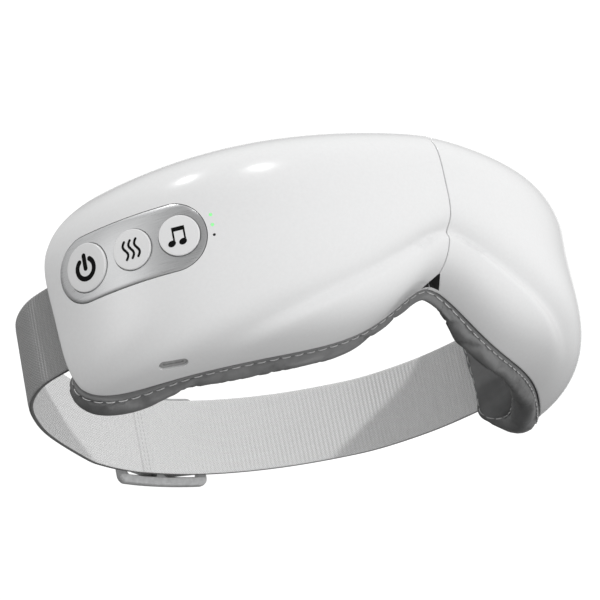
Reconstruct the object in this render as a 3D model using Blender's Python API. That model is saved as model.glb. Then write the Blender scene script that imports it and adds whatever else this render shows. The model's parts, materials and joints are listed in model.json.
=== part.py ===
"""Foldable eye massager mask.

Two gloss half shells meet at the nose on an upright hinge and fold towards the face. Each half
holds a frame, a leather cushion, an eye cup, a heater and an airbag. The half on the wearer's
right carries the control plate and its three push buttons, the half on the wearer's left the
battery and the air pump. An elastic strap with a slider buckle goes round the head.

Frame: metres. The origin is the root of the wearer's nose, +X is the wearer's left, +Y goes back
into the head and +Z is up. Each half is drawn on the +X side and turned over for the other.
"""

import math

import bmesh
import bpy
from mathutils import Matrix, Vector

MM = 0.001
RIGHT, LEFT = -1, 1
CLEARANCE = 0.3 * MM

# Outer surface of the shells: a rounded body whose plan is a superellipse, over a lip that flares
# out along the nose arch.
HALF_WIDTH = 105 * MM
SHELL_DEPTH = 94.8 * MM
FRONT_Y = -28.8 * MM
WIDEST_Y = FRONT_Y + SHELL_DEPTH
PLAN_POWER = 2.48
TOP_HEIGHT = 40.1 * MM
TOP_FALL, TOP_FALL_POWER, TOP_EDGE_POWER = 0.185, 2.0, 4.58
BOTTOM_HEIGHT = 41.9 * MM
BOTTOM_DROP, BOTTOM_DROP_POWER = 0.412, 5.35
BODY_ARCH = (28.4 * MM, 35.0 * MM, 1.54)
LIP_ARCH = (20.3 * MM, 23.4 * MM, 1.65)
BODY_EDGE_POWER, LIP_EDGE_POWER = 3.78, 3.89
LIP_SETBACK = 2.7 * MM
LIP_BLEND, LIP_FILL = 0.03, 0.017

# The rim, where the shells end and the cushions begin, is this far back in the mask.
RIM_AT_SEAM_Y = -11.7 * MM
RIM_SWEEP, RIM_SWEEP_MORE = 55.7 * MM, 7.0 * MM
RIM_TILT, RIM_BOW = 4.85 * MM, 2.0 * MM
RIM_REFERENCE_HEIGHT = 45 * MM

WALL = 2.2 * MM
SEAM_GAP = 0.2 * MM
SHELL_POLE = Vector((46 * MM, 2 * MM, 9 * MM))
SHELL_RINGS = 7
SEAM_STEPS, RIM_STEPS = 8, 36

# Cushion side.
EYE_X, EYE_Z = 37 * MM, -1 * MM
EYE_HALF_WIDTH, EYE_HALF_HEIGHT = 24 * MM, 15.5 * MM
PAD_NOSE_THICKNESS, PAD_CHEEK_THICKNESS, PAD_TEMPLE_THICKNESS = 5 * MM, 9.5 * MM, 23 * MM
PAD_NOSE_X, PAD_CHEEK_X, PAD_RISE_X, PAD_TEMPLE_X = 6 * MM, 24 * MM, 84 * MM, 104 * MM
PAD_FOOT_Z, PAD_RISEN_Z = -46 * MM, -32 * MM
PAD_BROW_LOSS, PAD_BROW_Z = 0.5, 28 * MM
PAD_INSET, PAD_TEMPLE_INSET = 1.0 * MM, 9.0 * MM
PAD_FRONT = 0.7 * MM
PAD_PROFILE = (0.0, 0.12, 0.32, 0.6, 0.84, 0.96, 1.0)
FRAME_INSET, FRAME_TEMPLE_INSET = 5.6 * MM, 17.0 * MM
TEMPLE_FROM_X, TEMPLE_FULL_X = 84 * MM, 97 * MM
FRAME_FRONT, FRAME_BACK = -5.4 * MM, -3.8 * MM
EYE_SEGMENTS = 32

# Fold hinge, an upright barrel behind the rim with a leaf screwed to each half.
HINGE_Y = -10.3 * MM
HINGE_BOTTOM, HINGE_KNUCKLES, HINGE_PITCH = -8 * MM, 5, 6.4 * MM
KNUCKLE_RADIUS, HINGE_PIN_RADIUS, HINGE_PIN_SLACK = 2.4 * MM, 1.2 * MM, 0.08 * MM
LEAF_FRONT_Y, LEAF_BACK_Y = -13.7 * MM, -12.5 * MM
LEAF_START_X, LEAF_END_X = 2.9 * MM, 10.6 * MM
LEAF_SCREW_X = 7.6 * MM
WEB_HALF_WIDTH, WEB_FRONT_Y, WEB_THICKNESS = 5.4 * MM, -7.6 * MM, 1.1 * MM

# Control plate and its buttons, on the side wall of the wearer's right half. Distances run
# forward along the wall from the power button, and heights up from the plate's middle line.
PLATE_Z = 0.3 * MM
POWER_Y = 34.3 * MM
PLATE_REAR, PLATE_FORE = -12.1 * MM, 44.6 * MM
PLATE_HEIGHT = 22.6 * MM
PLATE_POCKET, PLATE_PROUD, PLATE_THICKNESS = 1.15 * MM, 0.1 * MM, 0.8 * MM
BUTTONS = {
    "power": (0 * MM, 8.1 * MM),
    "heat": (18.0 * MM, 6.75 * MM),
    "music": (34.3 * MM, 6.75 * MM),
}
BUTTON_PROUD, BUTTON_UNDERSIDE, BUTTON_GAP = 0.75 * MM, -0.35 * MM, 0.35 * MM
STEM_RADIUS, STEM_END = 2.0 * MM, -4.4 * MM
FLANGE_RADIUS, FLANGE_TOP = 3.2 * MM, -3.4 * MM
SWITCH_TOP, SWITCH_FOOT, SWITCH_RADIUS = -5.3 * MM, -6.1 * MM, 2.6 * MM
BOARD_THICKNESS = 0.8 * MM
LIGHT_DISTANCE = 46.3 * MM
LIGHT_PITCH, LIGHT_MIDDLE_Z, LIGHT_RADIUS = 3.4 * MM, 1.6 * MM, 0.8 * MM

# Charge inlet in the underside, near the wearer's right temple.
INLET_X, INLET_Y = 89.5 * MM, 18.6 * MM
INLET_WIDTH, INLET_HEIGHT, INLET_DEPTH = 9.0 * MM, 3.3 * MM, 7.0 * MM

# Strap: a band of elastic on an upright plane curve, and the slider buckle behind the head.
STRAP_WIDTH, STRAP_THICKNESS = 30 * MM, 1.8 * MM
STRAP_Z = -12 * MM
STRAP_ARC_CENTRE = Vector((18 * MM, 64.5 * MM, 0))
STRAP_ARC_RADIUS = 93.5 * MM
BUCKLE_WIDTH, BUCKLE_HEIGHT, BUCKLE_THICKNESS = 44 * MM, 36 * MM, 3.2 * MM
BUCKLE_BAR, BUCKLE_RAIL = 4 * MM, 2.7 * MM
BUCKLE_MIDDLE_DEG = 92.5
CLAMP_HEIGHT, CLAMP_LENGTH, CLAMP_THICKNESS = 38 * MM, 7 * MM, 1.5 * MM
STRAP_END_X, STRAP_END_Y = 101.2 * MM, 43 * MM
STRAP_JOIN_DEG = 97.5


# ---------------------------------------------------------------- surface of the mask


def spread(x):
    """0 at the seam and 1 at the mask's half width."""
    return min(abs(x) / HALF_WIDTH, 1.0)


def bun(x, y, z, arch, edge_power, setback):
    """Below 0 inside one rounded body of the mask, 0 on its surface and above 0 outside."""
    rise, reach, power = arch
    top = TOP_HEIGHT * (1 - TOP_FALL * spread(x) ** TOP_FALL_POWER)
    bottom = -BOTTOM_HEIGHT * (1 + BOTTOM_DROP * spread(x) ** BOTTOM_DROP_POWER)
    bottom += rise * math.exp(-((abs(x) / reach) ** power))
    across = (abs(x) / HALF_WIDTH) ** PLAN_POWER
    across += abs((y - WIDEST_Y) / (SHELL_DEPTH - setback)) ** PLAN_POWER
    across = across ** (1 / PLAN_POWER)
    up = (2 * z - top - bottom) / (top - bottom)
    edge = TOP_EDGE_POWER if up > 0 else edge_power
    return (across**edge + abs(up) ** edge) ** (1 / edge) - 1


def shell_value(point):
    """Below 0 inside the mask's outer surface: the body and the lip, melted together."""
    body = bun(point.x, point.y, point.z, BODY_ARCH, BODY_EDGE_POWER, 0)
    lip = bun(point.x, point.y, point.z, LIP_ARCH, LIP_EDGE_POWER, LIP_SETBACK)
    mix = min(max(0.5 + 0.5 * (lip - body) / LIP_BLEND, 0), 1)
    return lip * (1 - mix) + body * mix - LIP_BLEND * mix * (1 - mix) - LIP_FILL


def rim_y(x, z):
    """How far back the rim lies."""
    out, up = abs(x) / HALF_WIDTH, z / RIM_REFERENCE_HEIGHT
    sweep = RIM_SWEEP * out**2 + RIM_SWEEP_MORE * out**4
    return RIM_AT_SEAM_Y + sweep + RIM_TILT * out**2 * up + RIM_BOW * up**2


def rim_normal(x, z):
    """The direction out of the rim surface, towards the head."""
    step = 0.1 * MM
    across = (rim_y(x + step, z) - rim_y(x - step, z)) / (2 * step)
    upward = (rim_y(x, z + step) - rim_y(x, z - step)) / (2 * step)
    return Vector((-across, 1, -upward)).normalized()


def crossing(is_beyond, far):
    """The distance from 0 to far at which is_beyond becomes true."""
    near = 0.0
    for _ in range(32):
        middle = (near + far) / 2
        if is_beyond(middle):
            far = middle
        else:
            near = middle
    return (near + far) / 2


def surface_hit(start, direction):
    """Where a ray from inside the mask meets its outer surface."""
    far = crossing(lambda t: shell_value(start + direction * t) > 0, 0.16)
    return start + direction * far


def surface_normal(point):
    """The way out of the mask at a place on its outer surface."""
    slopes = []
    for axis in range(3):
        step = Vector()
        step[axis] = 0.1 * MM
        slopes.append(shell_value(point + step) - shell_value(point - step))
    return Vector(slopes).normalized()


def front_y(x, z):
    """The front surface's y at this place."""
    start = Vector((x, WIDEST_Y, z))
    return surface_hit(start, Vector((0, -1, 0))).y


def rim_corner_z(sign):
    """The height at which the rim meets the seam, above (1) or below (-1)."""
    def beyond(z):
        return shell_value(Vector((SEAM_GAP, rim_y(SEAM_GAP, sign * z), sign * z))) > 0

    return sign * crossing(beyond, 60 * MM)


def steps_between(first, last, count):
    return [first + (last - first) * i / count for i in range(count)]


def angles_round(first_corner, second_corner, seam_steps, rim_steps):
    """Directions round a half that hit both of its corners."""
    seam = steps_between(first_corner, second_corner, seam_steps)
    return seam + steps_between(second_corner, first_corner + 2 * math.pi, rim_steps)


def shell_rings():
    """Rings of points on the outer surface of the left half, the last along its rim and seam."""
    def corner_angle(sign):
        z = rim_corner_z(sign)
        return math.atan2(z - SHELL_POLE.z, SEAM_GAP - SHELL_POLE.x) % (2 * math.pi)

    def direction(tilt, angle):
        flat = math.sin(tilt)
        return Vector((flat * math.cos(angle), -math.cos(tilt), flat * math.sin(angle)))

    def hit(tilt, angle):
        return surface_hit(SHELL_POLE, direction(tilt, angle))

    def past_edge(tilt, angle):
        p = hit(tilt, angle)
        return p.y > rim_y(p.x, p.z) or p.x < SEAM_GAP

    spokes = []
    for angle in angles_round(corner_angle(1), corner_angle(-1), SEAM_STEPS, RIM_STEPS):
        last = crossing(lambda tilt: past_edge(tilt, angle), math.radians(170))
        spokes.append([hit(last * k / SHELL_RINGS, angle) for k in range(1, SHELL_RINGS + 1)])
    pole = surface_hit(SHELL_POLE, Vector((0, -1, 0)))
    return pole, [list(ring) for ring in zip(*spokes)]


def half_outline():
    """The rim of the left half seen from behind, as (x, z) round the eye centre."""
    corners = [math.atan2(rim_corner_z(s) - EYE_Z, SEAM_GAP - EYE_X) for s in (1, -1)]
    first, second = [angle % (2 * math.pi) for angle in corners]
    points = []
    for angle in angles_round(first, second, SEAM_STEPS, RIM_STEPS):
        across, upward = math.cos(angle), math.sin(angle)

        def beyond(t):
            x, z = EYE_X + t * across, EYE_Z + t * upward
            return x < SEAM_GAP or shell_value(Vector((x, rim_y(x, z), z))) > 0

        reach = crossing(beyond, 110 * MM)
        points.append(Vector((EYE_X + reach * across, EYE_Z + reach * upward)))
    return points


def inset_outline(points, inset_at):
    """A closed outline that runs anticlockwise moved inwards by inset_at(point)."""
    count = len(points)
    moved = []
    for i, point in enumerate(points):
        before = (point - points[i - 1]).normalized()
        after = (points[(i + 1) % count] - point).normalized()
        inward = Vector((-before.y - after.y, before.x + after.x)).normalized()
        slant = max(inward.dot(Vector((-before.y, before.x))), 0.5)
        moved.append(point + inward * inset_at(point) / slant)
    return moved


# ---------------------------------------------------------------- building blocks


def clear_scene():
    for obj in list(bpy.data.objects):
        bpy.data.objects.remove(obj, do_unlink=True)


def material(name, colour, roughness, metallic=0.0):
    made = bpy.data.materials.new(name)
    made.use_nodes = True
    shader = made.node_tree.nodes["Principled BSDF"]
    shader.inputs["Base Color"].default_value = (*colour, 1)
    shader.inputs["Roughness"].default_value = roughness
    shader.inputs["Metallic"].default_value = metallic
    made.diffuse_color = (*colour, 1)
    return made


def finish_object(name, bm, look, origin=Vector(), smooth=True):
    """Turns bm, whose points are in the mask's frame, into an object with its origin there."""
    bmesh.ops.recalc_face_normals(bm, faces=bm.faces)
    bmesh.ops.translate(bm, verts=bm.verts, vec=-origin)
    mesh = bpy.data.meshes.new(name)
    bm.to_mesh(mesh)
    bm.free()
    if smooth:
        mesh.shade_smooth()
        mesh.set_sharp_from_angle(angle=math.radians(35))
    obj = bpy.data.objects.new(name, mesh)
    obj.location = origin
    obj.data.materials.append(look)
    bpy.context.scene.collection.objects.link(obj)
    return obj


def as_helper(obj):
    obj.hide_render = True
    obj.display_type = "WIRE"
    return obj


def boolean(obj, other, operation="DIFFERENCE"):
    modifier = obj.modifiers.new(other.name, "BOOLEAN")
    modifier.object = as_helper(other)
    modifier.operation = operation
    modifier.solver = "EXACT"


def bevelled(obj, width, segments=2):
    modifier = obj.modifiers.new("Edges", "BEVEL")
    modifier.width = width
    modifier.segments = segments
    modifier.limit_method = "ANGLE"
    modifier.angle_limit = math.radians(40)


def mirrored(side, points):
    return [Vector((side * p.x, p.y, p.z)) for p in points]


def ring_mesh(rings, start=None, end=None, wrap=False):
    """Quads between rings of equal length, with a point or a joined last ring at the ends."""
    bm = bmesh.new()
    loops = [[bm.verts.new(p) for p in ring] for ring in rings]
    count = len(rings[0])
    pairs = list(zip(loops, loops[1:]))
    if wrap:
        pairs.append((loops[-1], loops[0]))
    for first, second in pairs:
        for i in range(count):
            j = (i + 1) % count
            bm.faces.new((first[i], first[j], second[j], second[i]))
    for tip, loop in ((start, loops[0]), (end, loops[-1])):
        if tip is None:
            continue
        vertex = bm.verts.new(tip)
        for i in range(count):
            bm.faces.new((loop[i], loop[(i + 1) % count], vertex))
    return bm


def prism_mesh(outline, place, low, high):
    """An outline of (a, b) points carried from low to high, where place(a, b, c) is a point."""
    bm = bmesh.new()
    ends = [[bm.verts.new(place(p.x, p.y, c)) for p in outline] for c in (low, high)]
    bm.faces.new(ends[0])
    bm.faces.new(ends[1])
    for i in range(len(outline)):
        j = (i + 1) % len(outline)
        bm.faces.new((ends[0][i], ends[0][j], ends[1][j], ends[1][i]))
    return bm


def box_mesh(size, place):
    """A box of this size about the origin of the matrix place."""
    bm = bmesh.new()
    bmesh.ops.create_cube(bm, size=1)
    bmesh.ops.transform(bm, matrix=place @ Matrix.Diagonal((*size, 1)), verts=bm.verts)
    return bm


def cylinder_mesh(radius, low, high, place, segments=16):
    """A cylinder from low to high along the Z axis of the matrix place."""
    bm = bmesh.new()
    middle = place @ Matrix.Translation((0, 0, (low + high) / 2))
    bmesh.ops.create_cone(
        bm,
        cap_ends=True,
        segments=segments,
        radius1=radius,
        radius2=radius,
        depth=high - low,
        matrix=middle,
    )
    return bm


def turned_mesh(profile, place, segments=20):
    """A solid turned about the Z axis of place from (radius, height) pairs, bottom to top."""
    rings = []
    for radius, height in profile:
        turns = [2 * math.pi * i / segments for i in range(segments)]
        points = [(radius * math.cos(t), radius * math.sin(t), height) for t in turns]
        rings.append([place @ Vector(p) for p in points])
    low = place @ Vector((0, 0, profile[0][1]))
    high = place @ Vector((0, 0, profile[-1][1]))
    return ring_mesh(rings, low, high)


def frame_along(origin, normal, upward=Vector((0, 0, 1))):
    """A matrix at origin with its Z axis along normal and its Y axis near upward."""
    z = normal.normalized()
    x = upward.cross(z).normalized()
    y = z.cross(x)
    rotation = Matrix((x, y, z)).transposed().to_4x4()
    return Matrix.Translation(origin) @ rotation


def side_name(side):
    return "left" if side == LEFT else "right"


# ---------------------------------------------------------------- materials


def make_looks():
    return {
        "gloss_white": material("gloss_white", (0.86, 0.86, 0.87), 0.12),
        "inner_black": material("inner_black", (0.03, 0.03, 0.032), 0.5),
        "frame_grey": material("frame_grey", (0.3, 0.3, 0.31), 0.5),
        "brushed_plate": material("brushed_plate", (0.62, 0.62, 0.63), 0.3, 1.0),
        "button_white": material("button_white", (0.88, 0.88, 0.89), 0.25),
        "grey_leather": material("grey_leather", (0.11, 0.11, 0.115), 0.55),
        "cup_fabric": material("cup_fabric", (0.07, 0.07, 0.075), 0.7),
        "strap_elastic": material("strap_elastic", (0.5, 0.5, 0.5), 0.85),
        "buckle_grey": material("buckle_grey", (0.45, 0.45, 0.46), 0.4),
        "steel": material("steel", (0.55, 0.55, 0.56), 0.3, 1.0),
        "board_green": material("board_green", (0.02, 0.16, 0.07), 0.45),
        "battery_wrap": material("battery_wrap", (0.06, 0.12, 0.3), 0.35),
        "airbag_film": material("airbag_film", (0.55, 0.57, 0.6), 0.4),
        "heater_film": material("heater_film", (0.5, 0.22, 0.06), 0.45),
        "green_light": material("green_light", (0.25, 0.9, 0.35), 0.2),
        "dark_dot": material("dark_dot", (0.05, 0.05, 0.05), 0.4),
    }


# ---------------------------------------------------------------- shells


def inner_point(point, on_edge):
    """The place one wall thickness inside the outer surface, kept on the rim or the seam."""
    inward = -surface_normal(point)
    if on_edge and point.x < SEAM_GAP + 0.01 * MM:
        inward.x = 0
        inward.normalize()
    if on_edge and point.y > rim_y(point.x, point.z) - 0.01 * MM:
        back = rim_normal(point.x, point.z)
        inward = (inward - back * inward.dot(back)).normalized()
    return point + inward * WALL


def make_shell(side, looks):
    """The outer shell of one half, open at the rim and at the seam."""
    pole, rings = shell_rings()
    inner = [[inner_point(p, ring is rings[-1]) for p in ring] for ring in rings]
    loops = rings + inner[::-1]
    tips = (pole, inner_point(pole, False))
    bm = ring_mesh([mirrored(side, ring) for ring in loops], *mirrored(side, tips))
    return finish_object(side_name(side) + "_shell", bm, looks["gloss_white"])


def make_end_cap(side, looks):
    """The black wall that closes a half at the seam, a little inside its edge."""
    x = 1.7 * MM
    middle = Vector((x, -18 * MM, 10 * MM))
    section = []
    for i in range(28):
        turn = 2 * math.pi * i / 28
        hit = surface_hit(middle, Vector((0, math.cos(turn), math.sin(turn))))
        section.append(Vector((hit.y, hit.z)))
    inner = inset_outline(section, lambda point: WALL + 6 * CLEARANCE)
    back = LEAF_FRONT_Y - 2 * CLEARANCE
    inner = [Vector((min(p.x, back), p.y)) for p in inner]
    clean = [p for i, p in enumerate(inner) if (p - inner[i - 1]).length > 0.05 * MM]
    bm = prism_mesh(clean, lambda y, z, x: Vector((side * x, y, z)), 1.0 * MM, 2.4 * MM)
    return finish_object(side_name(side) + "_end_cap", bm, looks["inner_black"], smooth=False)


# ---------------------------------------------------------------- cushion side


def temple_inset(usual, at_temple):
    """An inset that grows towards the temple, where the strap goes in."""
    def inset(point):
        share = (point.x - TEMPLE_FROM_X) / (TEMPLE_FULL_X - TEMPLE_FROM_X)
        return usual + (at_temple - usual) * min(max(share, 0), 1)

    return inset


def eye_ring(outline, grow=0.0):
    """Points of the eye opening, one in the direction of each outline point."""
    ring = []
    for point in outline:
        angle = math.atan2(point.y - EYE_Z, point.x - EYE_X)
        across = (EYE_HALF_WIDTH + grow) * math.cos(angle)
        upward = (EYE_HALF_HEIGHT + grow) * math.sin(angle)
        ring.append(Vector((EYE_X + across, EYE_Z + upward)))
    return ring


def on_rim(point, height):
    """The place on the rim surface at (x, z), raised towards the head."""
    x, z = point
    return Vector((x, rim_y(x, z), z)) + rim_normal(x, z) * height


def make_frame(side, outline, looks):
    """The inner frame plate that carries the cushion and the parts inside."""
    outer = inset_outline(outline, temple_inset(FRAME_INSET, FRAME_TEMPLE_INSET))
    inner = eye_ring(outline, 2 * MM)
    loops = []
    for points, height in (
        (inner, FRAME_FRONT),
        (outer, FRAME_FRONT),
        (outer, FRAME_BACK),
        (inner, FRAME_BACK),
    ):
        loops.append(mirrored(side, [on_rim(p, height) for p in points]))
    bm = ring_mesh(loops, wrap=True)
    return finish_object(side_name(side) + "_frame", bm, looks["frame_grey"])


def smooth_share(low, high, value):
    share = min(max((value - low) / (high - low), 0), 1)
    return share * share * (3 - 2 * share)


def pad_height(point, share):
    """Thickness of the cushion at a place, share of the way from the eye to its outer edge."""
    crest = PAD_NOSE_THICKNESS
    crest += (PAD_CHEEK_THICKNESS - crest) * smooth_share(PAD_NOSE_X, PAD_CHEEK_X, point.x)
    more = (PAD_TEMPLE_THICKNESS - PAD_CHEEK_THICKNESS) * smooth_share(PAD_RISE_X, PAD_TEMPLE_X, point.x)
    more *= smooth_share(PAD_FOOT_Z, PAD_RISEN_Z, point.y)
    crest += more * (1 - PAD_BROW_LOSS * smooth_share(0, PAD_BROW_Z, point.y))
    bulge = 1 - abs(2 * share - 1) ** 3
    return crest * (0.45 + 0.55 * bulge)


def make_pad(side, outline, looks):
    """The leather cushion ring of one half, with the eye opening through it."""
    outer = inset_outline(outline, temple_inset(PAD_INSET, PAD_TEMPLE_INSET))
    outer = [Vector((max(p.x, PAD_NOSE_X), p.y)) for p in outer]
    inner = eye_ring(outline)
    loops = []
    for share in PAD_PROFILE:
        ring = []
        for a, b in zip(inner, outer):
            point = a.lerp(b, share)
            ring.append(on_rim(point, pad_height(point, share)))
        loops.append(mirrored(side, ring))
    for points in (outer, inner):
        loops.append(mirrored(side, [on_rim(p, PAD_FRONT) for p in points]))
    bm = ring_mesh(loops, wrap=True)
    return finish_object(side_name(side) + "_pad", bm, looks["grey_leather"])


def make_eye_disc(name, side, look, shrink, low, high, dish=0.0):
    """A disc in the eye opening between two heights over the rim surface, dished at its middle."""
    turns = [2 * math.pi * i / EYE_SEGMENTS for i in range(EYE_SEGMENTS)]

    def ring(share, height):
        points = []
        for turn in turns:
            across = share * (EYE_HALF_WIDTH - shrink) * math.cos(turn)
            upward = share * (EYE_HALF_HEIGHT - shrink) * math.sin(turn)
            sunk = height - dish * (1 - share**2)
            points.append(on_rim(Vector((EYE_X + across, EYE_Z + upward)), sunk))
        return mirrored(side, points)

    rings = [ring(s, high) for s in (0.4, 0.75, 1)] + [ring(s, low) for s in (1, 0.75, 0.4)]
    middle = Vector((EYE_X, EYE_Z))
    tips = mirrored(side, [on_rim(middle, high - dish), on_rim(middle, low - dish)])
    return finish_object(name, ring_mesh(rings, *tips), look)


def make_eye_stack(side, looks):
    """Eye cup, heater and airbag, one behind the other in the eye opening."""
    name = side_name(side)
    gap = CLEARANCE
    make_eye_disc(name + "_eye_cup", side, looks["cup_fabric"], gap, 3.0 * MM, 4.0 * MM, 1.5 * MM)
    make_eye_disc(name + "_heater", side, looks["heater_film"], 2 * MM, 2.1 * MM, 2.6 * MM, 1.5 * MM)
    make_eye_disc(name + "_airbag", side, looks["airbag_film"], 1 * MM, -2.6 * MM, 1.7 * MM, 1.5 * MM)


# ---------------------------------------------------------------- fold hinge


def hinge_place(z=0.0):
    return Matrix.Translation((0, HINGE_Y, z))


def make_hinge_leaf(side, looks):
    """One leaf of the fold hinge, with every second knuckle of the barrel."""
    name = side_name(side)
    top = HINGE_BOTTOM + HINGE_KNUCKLES * HINGE_PITCH
    middle_y = (LEAF_FRONT_Y + LEAF_BACK_Y) / 2
    size = (LEAF_END_X - LEAF_START_X, LEAF_BACK_Y - LEAF_FRONT_Y, top - HINGE_BOTTOM)
    middle = ((LEAF_START_X + LEAF_END_X) / 2 * side, middle_y, (top + HINGE_BOTTOM) / 2)
    leaf = finish_object(
        name + "_hinge_leaf", box_mesh(size, Matrix.Translation(middle)), looks["steel"]
    )
    for i in range(0 if side == RIGHT else 1, HINGE_KNUCKLES, 2):
        low = HINGE_BOTTOM + i * HINGE_PITCH
        high = low + HINGE_PITCH
        low += CLEARANCE if i else 0
        barrel = cylinder_mesh(KNUCKLE_RADIUS, low, high, hinge_place())
        boolean(leaf, finish_object(f"{name}_knuckle_{i}", barrel, looks["steel"]), "UNION")
        reach = LEAF_START_X + 1 * MM
        tang = box_mesh(
            (reach, size[1], high - low),
            Matrix.Translation((side * reach / 2, middle_y, (low + high) / 2)),
        )
        boolean(leaf, finish_object(f"{name}_tang_{i}", tang, looks["steel"]), "UNION")
    bore = cylinder_mesh(
        HINGE_PIN_RADIUS + HINGE_PIN_SLACK, HINGE_BOTTOM - 1 * MM, top + 1 * MM, hinge_place()
    )
    boolean(leaf, finish_object(name + "_leaf_bore", bore, looks["steel"]))
    for i, z in enumerate(hinge_screw_heights()):
        hole = cylinder_mesh(0.9 * MM, -4 * MM, 4 * MM, hinge_screw_place(side, z), 16)
        boolean(leaf, finish_object(f"{name}_leaf_hole_{i}", hole, looks["steel"]))
    return leaf


def hinge_screw_heights():
    return (HINGE_BOTTOM + HINGE_PITCH, HINGE_BOTTOM + 4 * HINGE_PITCH)


def hinge_screw_place(side, z):
    """On the back of a hinge leaf, with Z pointing back at the wearer."""
    return frame_along(Vector((side * LEAF_SCREW_X, LEAF_BACK_Y, z)), Vector((0, 1, 0)))


def make_hinge(frames, looks):
    top = HINGE_BOTTOM + HINGE_KNUCKLES * HINGE_PITCH
    pin = cylinder_mesh(HINGE_PIN_RADIUS, HINGE_BOTTOM - 0.6 * MM, top + 0.6 * MM, hinge_place())
    finish_object("hinge_pin", pin, looks["steel"])
    for side in (RIGHT, LEFT):
        make_hinge_leaf(side, looks)
        for i, z in enumerate(hinge_screw_heights()):
            place = hinge_screw_place(side, z)
            profile = ((0.75 * MM, -3.4 * MM), (0.75 * MM, 0.1 * MM), (1.5 * MM, 0.1 * MM), (1.5 * MM, 0.6 * MM))
            name = f"{side_name(side)}_hinge_screw_{i + 1}"
            finish_object(name, turned_mesh(profile, place, 16), looks["steel"])
            hole = cylinder_mesh(0.85 * MM, -9 * MM, 2 * MM, place, 16)
            boolean(frames[side], finish_object(name + "_hole", hole, looks["steel"]))


def make_nose_web(looks):
    """The leather web that joins the two cushions over the hinge and bends with the fold."""
    low, high = rim_corner_z(-1) + 2 * MM, rim_corner_z(1) - 3 * MM
    size = (2 * WEB_HALF_WIDTH, WEB_THICKNESS, high - low)
    middle = (0, WEB_FRONT_Y + WEB_THICKNESS / 2, (low + high) / 2)
    web = finish_object("nose_web", box_mesh(size, Matrix.Translation(middle)), looks["grey_leather"])
    return web


# ---------------------------------------------------------------- controls


def wall_curve():
    """The outer wall at the plate's height, from the temple forwards, on the +X side."""
    start = Vector((30 * MM, 52 * MM, PLATE_Z))
    points = []
    for i in range(121):
        turn = math.radians(-1 - 0.6 * i)
        points.append(surface_hit(start, Vector((math.cos(turn), math.sin(turn), 0))))
    return points


def wall_at(distance, curve):
    """The place on the wall this far forward of the power button, and the way out of it."""
    start = min(range(len(curve)), key=lambda i: abs(curve[i].y - POWER_Y))
    step = 1 if distance >= 0 else -1
    left, i = abs(distance), start
    while left > (curve[i + step] - curve[i]).length:
        left -= (curve[i + step] - curve[i]).length
        i += step
    ahead = (curve[i + step] - curve[i]).normalized()
    forward = ahead * step
    return curve[i] + ahead * left, Vector((-forward.y, forward.x, 0))


def wall_point(distance, height, lift, curve):
    """A place over the wall of the wearer's right half, lifted out of it by lift."""
    base, out = wall_at(distance, curve)
    start = base - out * 6 * MM + Vector((0, 0, height))
    hit = surface_hit(start, out) + out * lift
    return Vector((-hit.x, hit.y, hit.z))


def wall_place(distance, curve, height=0.0):
    """A matrix on the wall of the wearer's right half, with Z pointing out of it."""
    base, out = wall_at(distance, curve)
    hit = wall_point(distance, height, 0, curve)
    return frame_along(hit, Vector((-out.x, out.y, 0)))


def stadium(rear, fore, height, count=28):
    """A stadium outline of (distance, height) points."""
    radius = height / 2
    points = []
    for centre, first in ((fore - radius, -90), (rear + radius, 90)):
        for i in range(count // 2 + 1):
            turn = math.radians(first + 180 * i / (count // 2))
            points.append(Vector((centre + radius * math.cos(turn), radius * math.sin(turn))))
    return points


def wall_slab(rear, fore, height, low, high, curve):
    """A stadium slab that follows the wall, from low to high over it."""
    outline = stadium(rear, fore, height)
    centre = Vector(((rear + fore) / 2, 0))

    def ring(share, lift):
        places = [centre.lerp(point, share) for point in outline]
        return [wall_point(p.x, p.y, lift, curve) for p in places]

    shares = (0.33, 0.67, 1)
    rings = [ring(s, high) for s in shares] + [ring(s, low) for s in reversed(shares)]
    tips = [wall_point(centre.x, 0, lift, curve) for lift in (high, low)]
    return ring_mesh(rings, *tips)


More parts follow.
